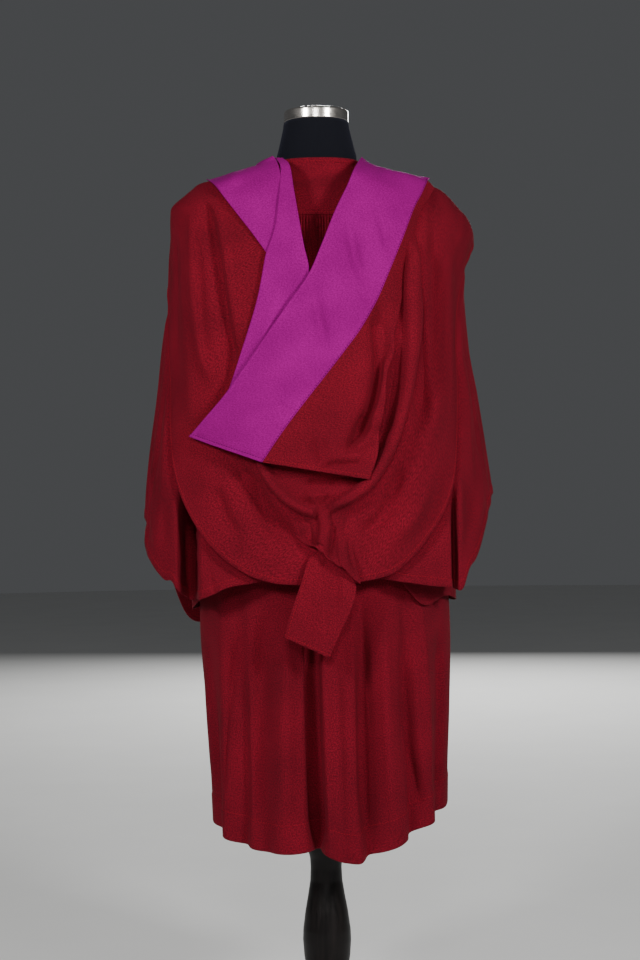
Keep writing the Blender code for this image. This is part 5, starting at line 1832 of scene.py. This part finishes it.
    def make_band(self) -> None:
        """The wide magenta band turned out from the right shoulder."""
        cloth = Cloth("lining_band_right", self.band.grid())
        cloth.crease(BAND_CREASES)
        cloth.ripple(12.0, 0.0010, 43.0)
        cloth.border("bottom", 0.007, 0.0009)
        cloth.border("left", 0.004, 0.0008)
        made = self.shop.hand_in(cloth.build(self.shop.satin), "magenta_lining", "lining_right")
        sewn = self.shop.sew("band_stitches", [cloth.seam_line("bottom", 0.0060),
                                               cloth.seam_line("right", 0.0014)], satin=True)

    def make_left(self) -> None:
        """The two left pieces of the lining."""
        for name, node, rails, flat in (
                ("lining_fold_left", "lining_left_fold", self.left_fold, (0.07, 0.42)),
                ("lining_shoulder_left", "lining_left_shoulder", self.left_shoulder, (0.13, 0.27))):
            cloth = Cloth(name, rails.grid(), wall=SATIN_WALL)
            cloth.crease(LEFT_CREASES)
            cloth.border("right", 0.003, 0.0006)
            made = self.shop.hand_in(cloth.build(self.shop.satin), "magenta_lining", node)

    def make_liripipe(self) -> None:
        """The square-ended tail below the knot."""
        folds = ((((-0.004, 0.870), (0.020, 0.835), (0.012, 0.790)), 0.010, -0.005),)
        cloth = Cloth("liripipe_cloth", self.liripipe.grid(folds))
        cloth.crease((Crease(polyline((322, 560), (316, 600), (306, 640)), 9, 3),
                      Crease(polyline((338, 572), (336, 600), (326, 640)), 8, -3)))
        for edge in ("bottom", "left", "right"):
            cloth.border(edge, 0.003, 0.0008)
        made = self.shop.hand_in(cloth.build(self.shop.red), "crimson_cloth", "hood_liripipe")
        sewn = self.shop.sew("liripipe_stitches", [cloth.seam_line("bottom", 0.004),
                                                   cloth.seam_line("left", 0.004)])

    def make_neckbands(self) -> None:
        """Both halves of the neckband, which meet low on the chest."""
        for word, mirror in (("left", 1.0), ("right", -1.0)):
            rails = Rails(self.neckband, 24, 14, mirror=mirror)
            cloth = Cloth(f"neckband_{word}", rails.grid(), flip=mirror > 0)
            cloth.border("left", 0.004, 0.0006)
            cloth.border("right", 0.004, 0.0006)
            made = self.shop.hand_in(cloth.build(self.shop.red), "crimson_cloth", f"hood_neckband_{word}")
            sewn = self.shop.sew(f"neckband_stitches_{word}", [cloth.seam_line("left", 0.005),
                                                               cloth.seam_line("right", 0.005)])

    def make(self) -> None:
        """Make every piece of the hood but the cape."""
        self.make_pouch()
        self.make_flap()
        self.make_band()
        self.make_left()
        self.make_liripipe()
        self.make_neckbands()


@dataclass
class DressForm:
    """The limbless form: jersey body, metal neck cap, turned post and round foot."""

    shop: Workshop
    roundness: float = 2.15
    sides: int = 132
    rows: int = 150
    sections: Sections = Sections(
        "z half_width half_depth centre_y",
        (0.862, 0.140, 0.098, 0.000), (0.868, 0.158, 0.112, 0.000), (0.885, 0.164, 0.117, 0.000),
        (0.950, 0.165, 0.117, 0.000), (1.040, 0.150, 0.106, 0.000), (1.110, 0.141, 0.099, 0.000),
        (1.200, 0.150, 0.103, 0.002), (1.300, 0.166, 0.108, 0.004), (1.380, 0.172, 0.107, 0.004),
        (1.440, 0.175, 0.098, 0.002), (1.490, 0.175, 0.084, 0.000), (1.520, 0.164, 0.072, 0.000),
        (1.535, 0.136, 0.065, 0.000), (1.552, 0.098, 0.059, 0.000), (1.568, 0.0785, 0.0565, 0.000),
        (1.585, 0.0740, 0.0555, 0.000), (1.600, 0.0735, 0.0560, 0.000), (1.612, 0.0705, 0.0565, 0.000),
        (1.635, 0.0650, 0.0575, 0.000), (1.6633, 0.0586, 0.0586, 0.000))
    cap: tuple[tuple[float, float], ...] = (
        (0.0000, 1.6880), (0.0200, 1.6878), (0.0400, 1.6870), (0.0530, 1.6857), (0.0572, 1.6846),
        (0.0586, 1.6838), (0.0591, 1.6828), (0.0593, 1.6810), (0.0593, 1.6735), (0.0593, 1.6660),
        (0.0591, 1.6646), (0.0585, 1.6638), (0.0560, 1.6636), (0.0300, 1.6636), (0.0000, 1.6636))
    post: tuple[tuple[float, float], ...] = (
        (0.0000, 0.8617), (0.0300, 0.8617), (0.0328, 0.8600), (0.0330, 0.8540), (0.0330, 0.8240),
        (0.0318, 0.8170), (0.0275, 0.8060), (0.0270, 0.7950), (0.0270, 0.6000), (0.0270, 0.4360),
        (0.0290, 0.4280), (0.0330, 0.4180), (0.0352, 0.4040), (0.0360, 0.3900), (0.0355, 0.3450),
        (0.0330, 0.3280), (0.0294, 0.3150), (0.0285, 0.2970), (0.0296, 0.2730), (0.0340, 0.2453),
        (0.0391, 0.2177), (0.0436, 0.1840), (0.0443, 0.1640), (0.0422, 0.1350), (0.0380, 0.1080),
        (0.0330, 0.0860), (0.0320, 0.0760), (0.0340, 0.0715), (0.0400, 0.0680), (0.0450, 0.0580),
        (0.0440, 0.0480), (0.0410, 0.0430), (0.0380, 0.0423), (0.0000, 0.0423))
    foot: tuple[tuple[float, float], ...] = (
        (0.0000, 0.0420), (0.0560, 0.0420), (0.0640, 0.0414), (0.0690, 0.0390), (0.0740, 0.0340),
        (0.0820, 0.0324), (0.1100, 0.0310), (0.1500, 0.0290), (0.1860, 0.0270), (0.1940, 0.0248),
        (0.1985, 0.0200), (0.2000, 0.0150), (0.2000, 0.0070), (0.1990, 0.0025), (0.1960, 0.0002),
        (0.1900, 0.0000), (0.1000, 0.0000), (0.0000, 0.0000))

    def torso(self) -> bpy.types.Object:
        """The jersey body, closed at both ends, with its side seams and neck seam."""
        z = np.concatenate([steps(1.6633, 0.8650, self.rows), [0.8622, 0.862]])[:, None]
        angle = np.linspace(0.0, 360.0, self.sides, endpoint=False)[None, :]
        z_all = np.repeat(z, self.sides, axis=1)
        radius = ring_radius(angle, self.sections.at("half_width", z_all),
                             self.sections.at("half_depth", z_all), self.roundness)
        for seam in (0.0, 90.0, 180.0, 270.0):
            gap = np.abs((angle - seam + 180.0) % 360.0 - 180.0)
            radius = radius - 0.0009 * bell(gap, 1.6)
        radius = radius + 0.0012 * bell(z - 1.6600, 0.0030)
        turn = np.radians(angle)
        points = np.stack([radius * np.sin(turn),
                           self.sections.at("centre_y", z_all) - radius * np.cos(turn), z_all], axis=-1)
        rows = len(z)
        index = np.arange(rows * self.sides).reshape(rows, self.sides)
        beside = np.roll(index, -1, axis=1)
        quads = np.stack([index[:-1], index[1:], beside[1:], beside[:-1]], axis=-1).reshape(-1, 4).tolist()
        top, bottom = rows * self.sides, rows * self.sides + 1
        verts = points.reshape(-1, 3).tolist()
        verts += [[0.0, 0.0, 1.6633], [0.0, 0.0, 0.862]]
        quads += [[index[0, i], beside[0, i], top] for i in range(self.sides)]
        quads += [[beside[-1, i], index[-1, i], bottom] for i in range(self.sides)]
        mesh = bpy.data.meshes.new("jersey_body")
        mesh.from_pydata(verts, [], quads)
        layer = mesh.uv_layers.new(name="weave")
        girth = np.append(np.radians(np.linspace(0.0, 360.0, self.sides, endpoint=False)), 0.0) * 0.15
        for face in mesh.polygons:
            columns = [v % self.sides if v < top else 0 for v in face.vertices]
            wraps = max(columns) - min(columns) > self.sides // 2
            for loop, vertex, column in zip(face.loop_indices, face.vertices, columns):
                u = girth[column] + (2.0 * math.pi * 0.15 if wraps and column == 0 else 0.0)
                layer.data[loop].uv = (u, mesh.vertices[vertex].co.z)
        mesh.shade_smooth()
        mesh.materials.append(self.shop.jersey)
        made = bpy.data.objects.new("jersey_body", mesh)
        bpy.context.scene.collection.objects.link(made)
        return made

    def make(self) -> None:
        """Make the form and its stand, and ride them on the body."""
        self.shop.hand_in(self.torso(), "black_jersey", "form_torso")
        lathe = Lathe()
        tree = lathe.tree()
        for name, node, profile, rings, finish, slot in (
                ("turned_cap", "neck_cap", self.cap, 110, self.shop.metal, "chrome_cap"),
                ("turned_post", "stand_post", self.post, 300, self.shop.wood, "dark_wood"),
                ("turned_foot", "stand_base", self.foot, 170, self.shop.wood, "dark_wood")):
            made = lathe.turn(name, profile, rings, finish, tree)
            self.shop.hand_in(made, slot, node)


@dataclass
class Studio:
    """Plain pale floor, soft lights and even surroundings."""

    floor_radius: float = 14.0
    surround: tuple[float, float, float] = (0.068, 0.070, 0.073)

    def floor(self) -> None:
        """A round floor under the stand."""
        sides = 128
        ring = [(self.floor_radius * math.cos(2 * math.pi * i / sides),
                 self.floor_radius * math.sin(2 * math.pi * i / sides), -0.0005) for i in range(sides)]
        mesh = bpy.data.meshes.new("studio_floor")
        mesh.from_pydata(ring, [], [tuple(range(sides))])
        mesh.materials.append(StudioFloor().material())
        made = bpy.data.objects.new("studio_floor", mesh)
        bpy.context.scene.collection.objects.link(made)

    def softbox(self, name: str, place: tuple[float, float, float], aim: tuple[float, float, float],
                size: float, power: float) -> None:
        """A square soft light.

        Args:
            name: its name.
            place: where it stands.
            aim: where it points.
            size: length of its side.
            power: watts.
        """
        light = bpy.data.lights.new(name, "AREA")
        light.size, light.energy = size, power
        made = bpy.data.objects.new(name, light)
        made.location = place
        made.rotation_euler = (Vector(aim) - Vector(place)).to_track_quat("-Z", "Y").to_euler()
        bpy.context.scene.collection.objects.link(made)

    def make(self) -> None:
        """Set up the floor, lights, surroundings and camera."""
        VIEW.place_camera()
        self.floor()
        self.softbox("key_light", (1.65, -2.0, 1.95), (0.0, 0.0, 1.20), 0.50, 60.0)
        self.softbox("left_light", (-1.65, -2.1, 2.10), (0.0, 0.0, 1.20), 0.50, 52.0)
        self.softbox("front_light", (-0.1, -3.1, 1.85), (0.0, 0.0, 1.45), 0.5, 36.0)
        self.softbox("back_light", (0.8, 6.5, 2.9), (0.0, 0.0, 1.0), 2.0, 270.0)
        world = bpy.data.worlds.new("surroundings")
        world.use_nodes = True
        world.node_tree.nodes["Background"].inputs["Color"].default_value = (*self.surround, 1.0)
        world.node_tree.nodes["Background"].inputs["Strength"].default_value = 1.0
        bpy.context.scene.world = world


def main() -> None:
    """Build the studio, the form and the garment."""
    logging.basicConfig(level=logging.INFO, format="%(name)s %(message)s")
    Studio().make()
    shop = Workshop()
    DressForm(shop).make()
    Gown(shop).make()
    Sleeves(shop).make()
    CAPE.make(shop)
    Hood(shop).make()
    bpy.context.view_layer.update()


if __name__ == "__main__":
    main()
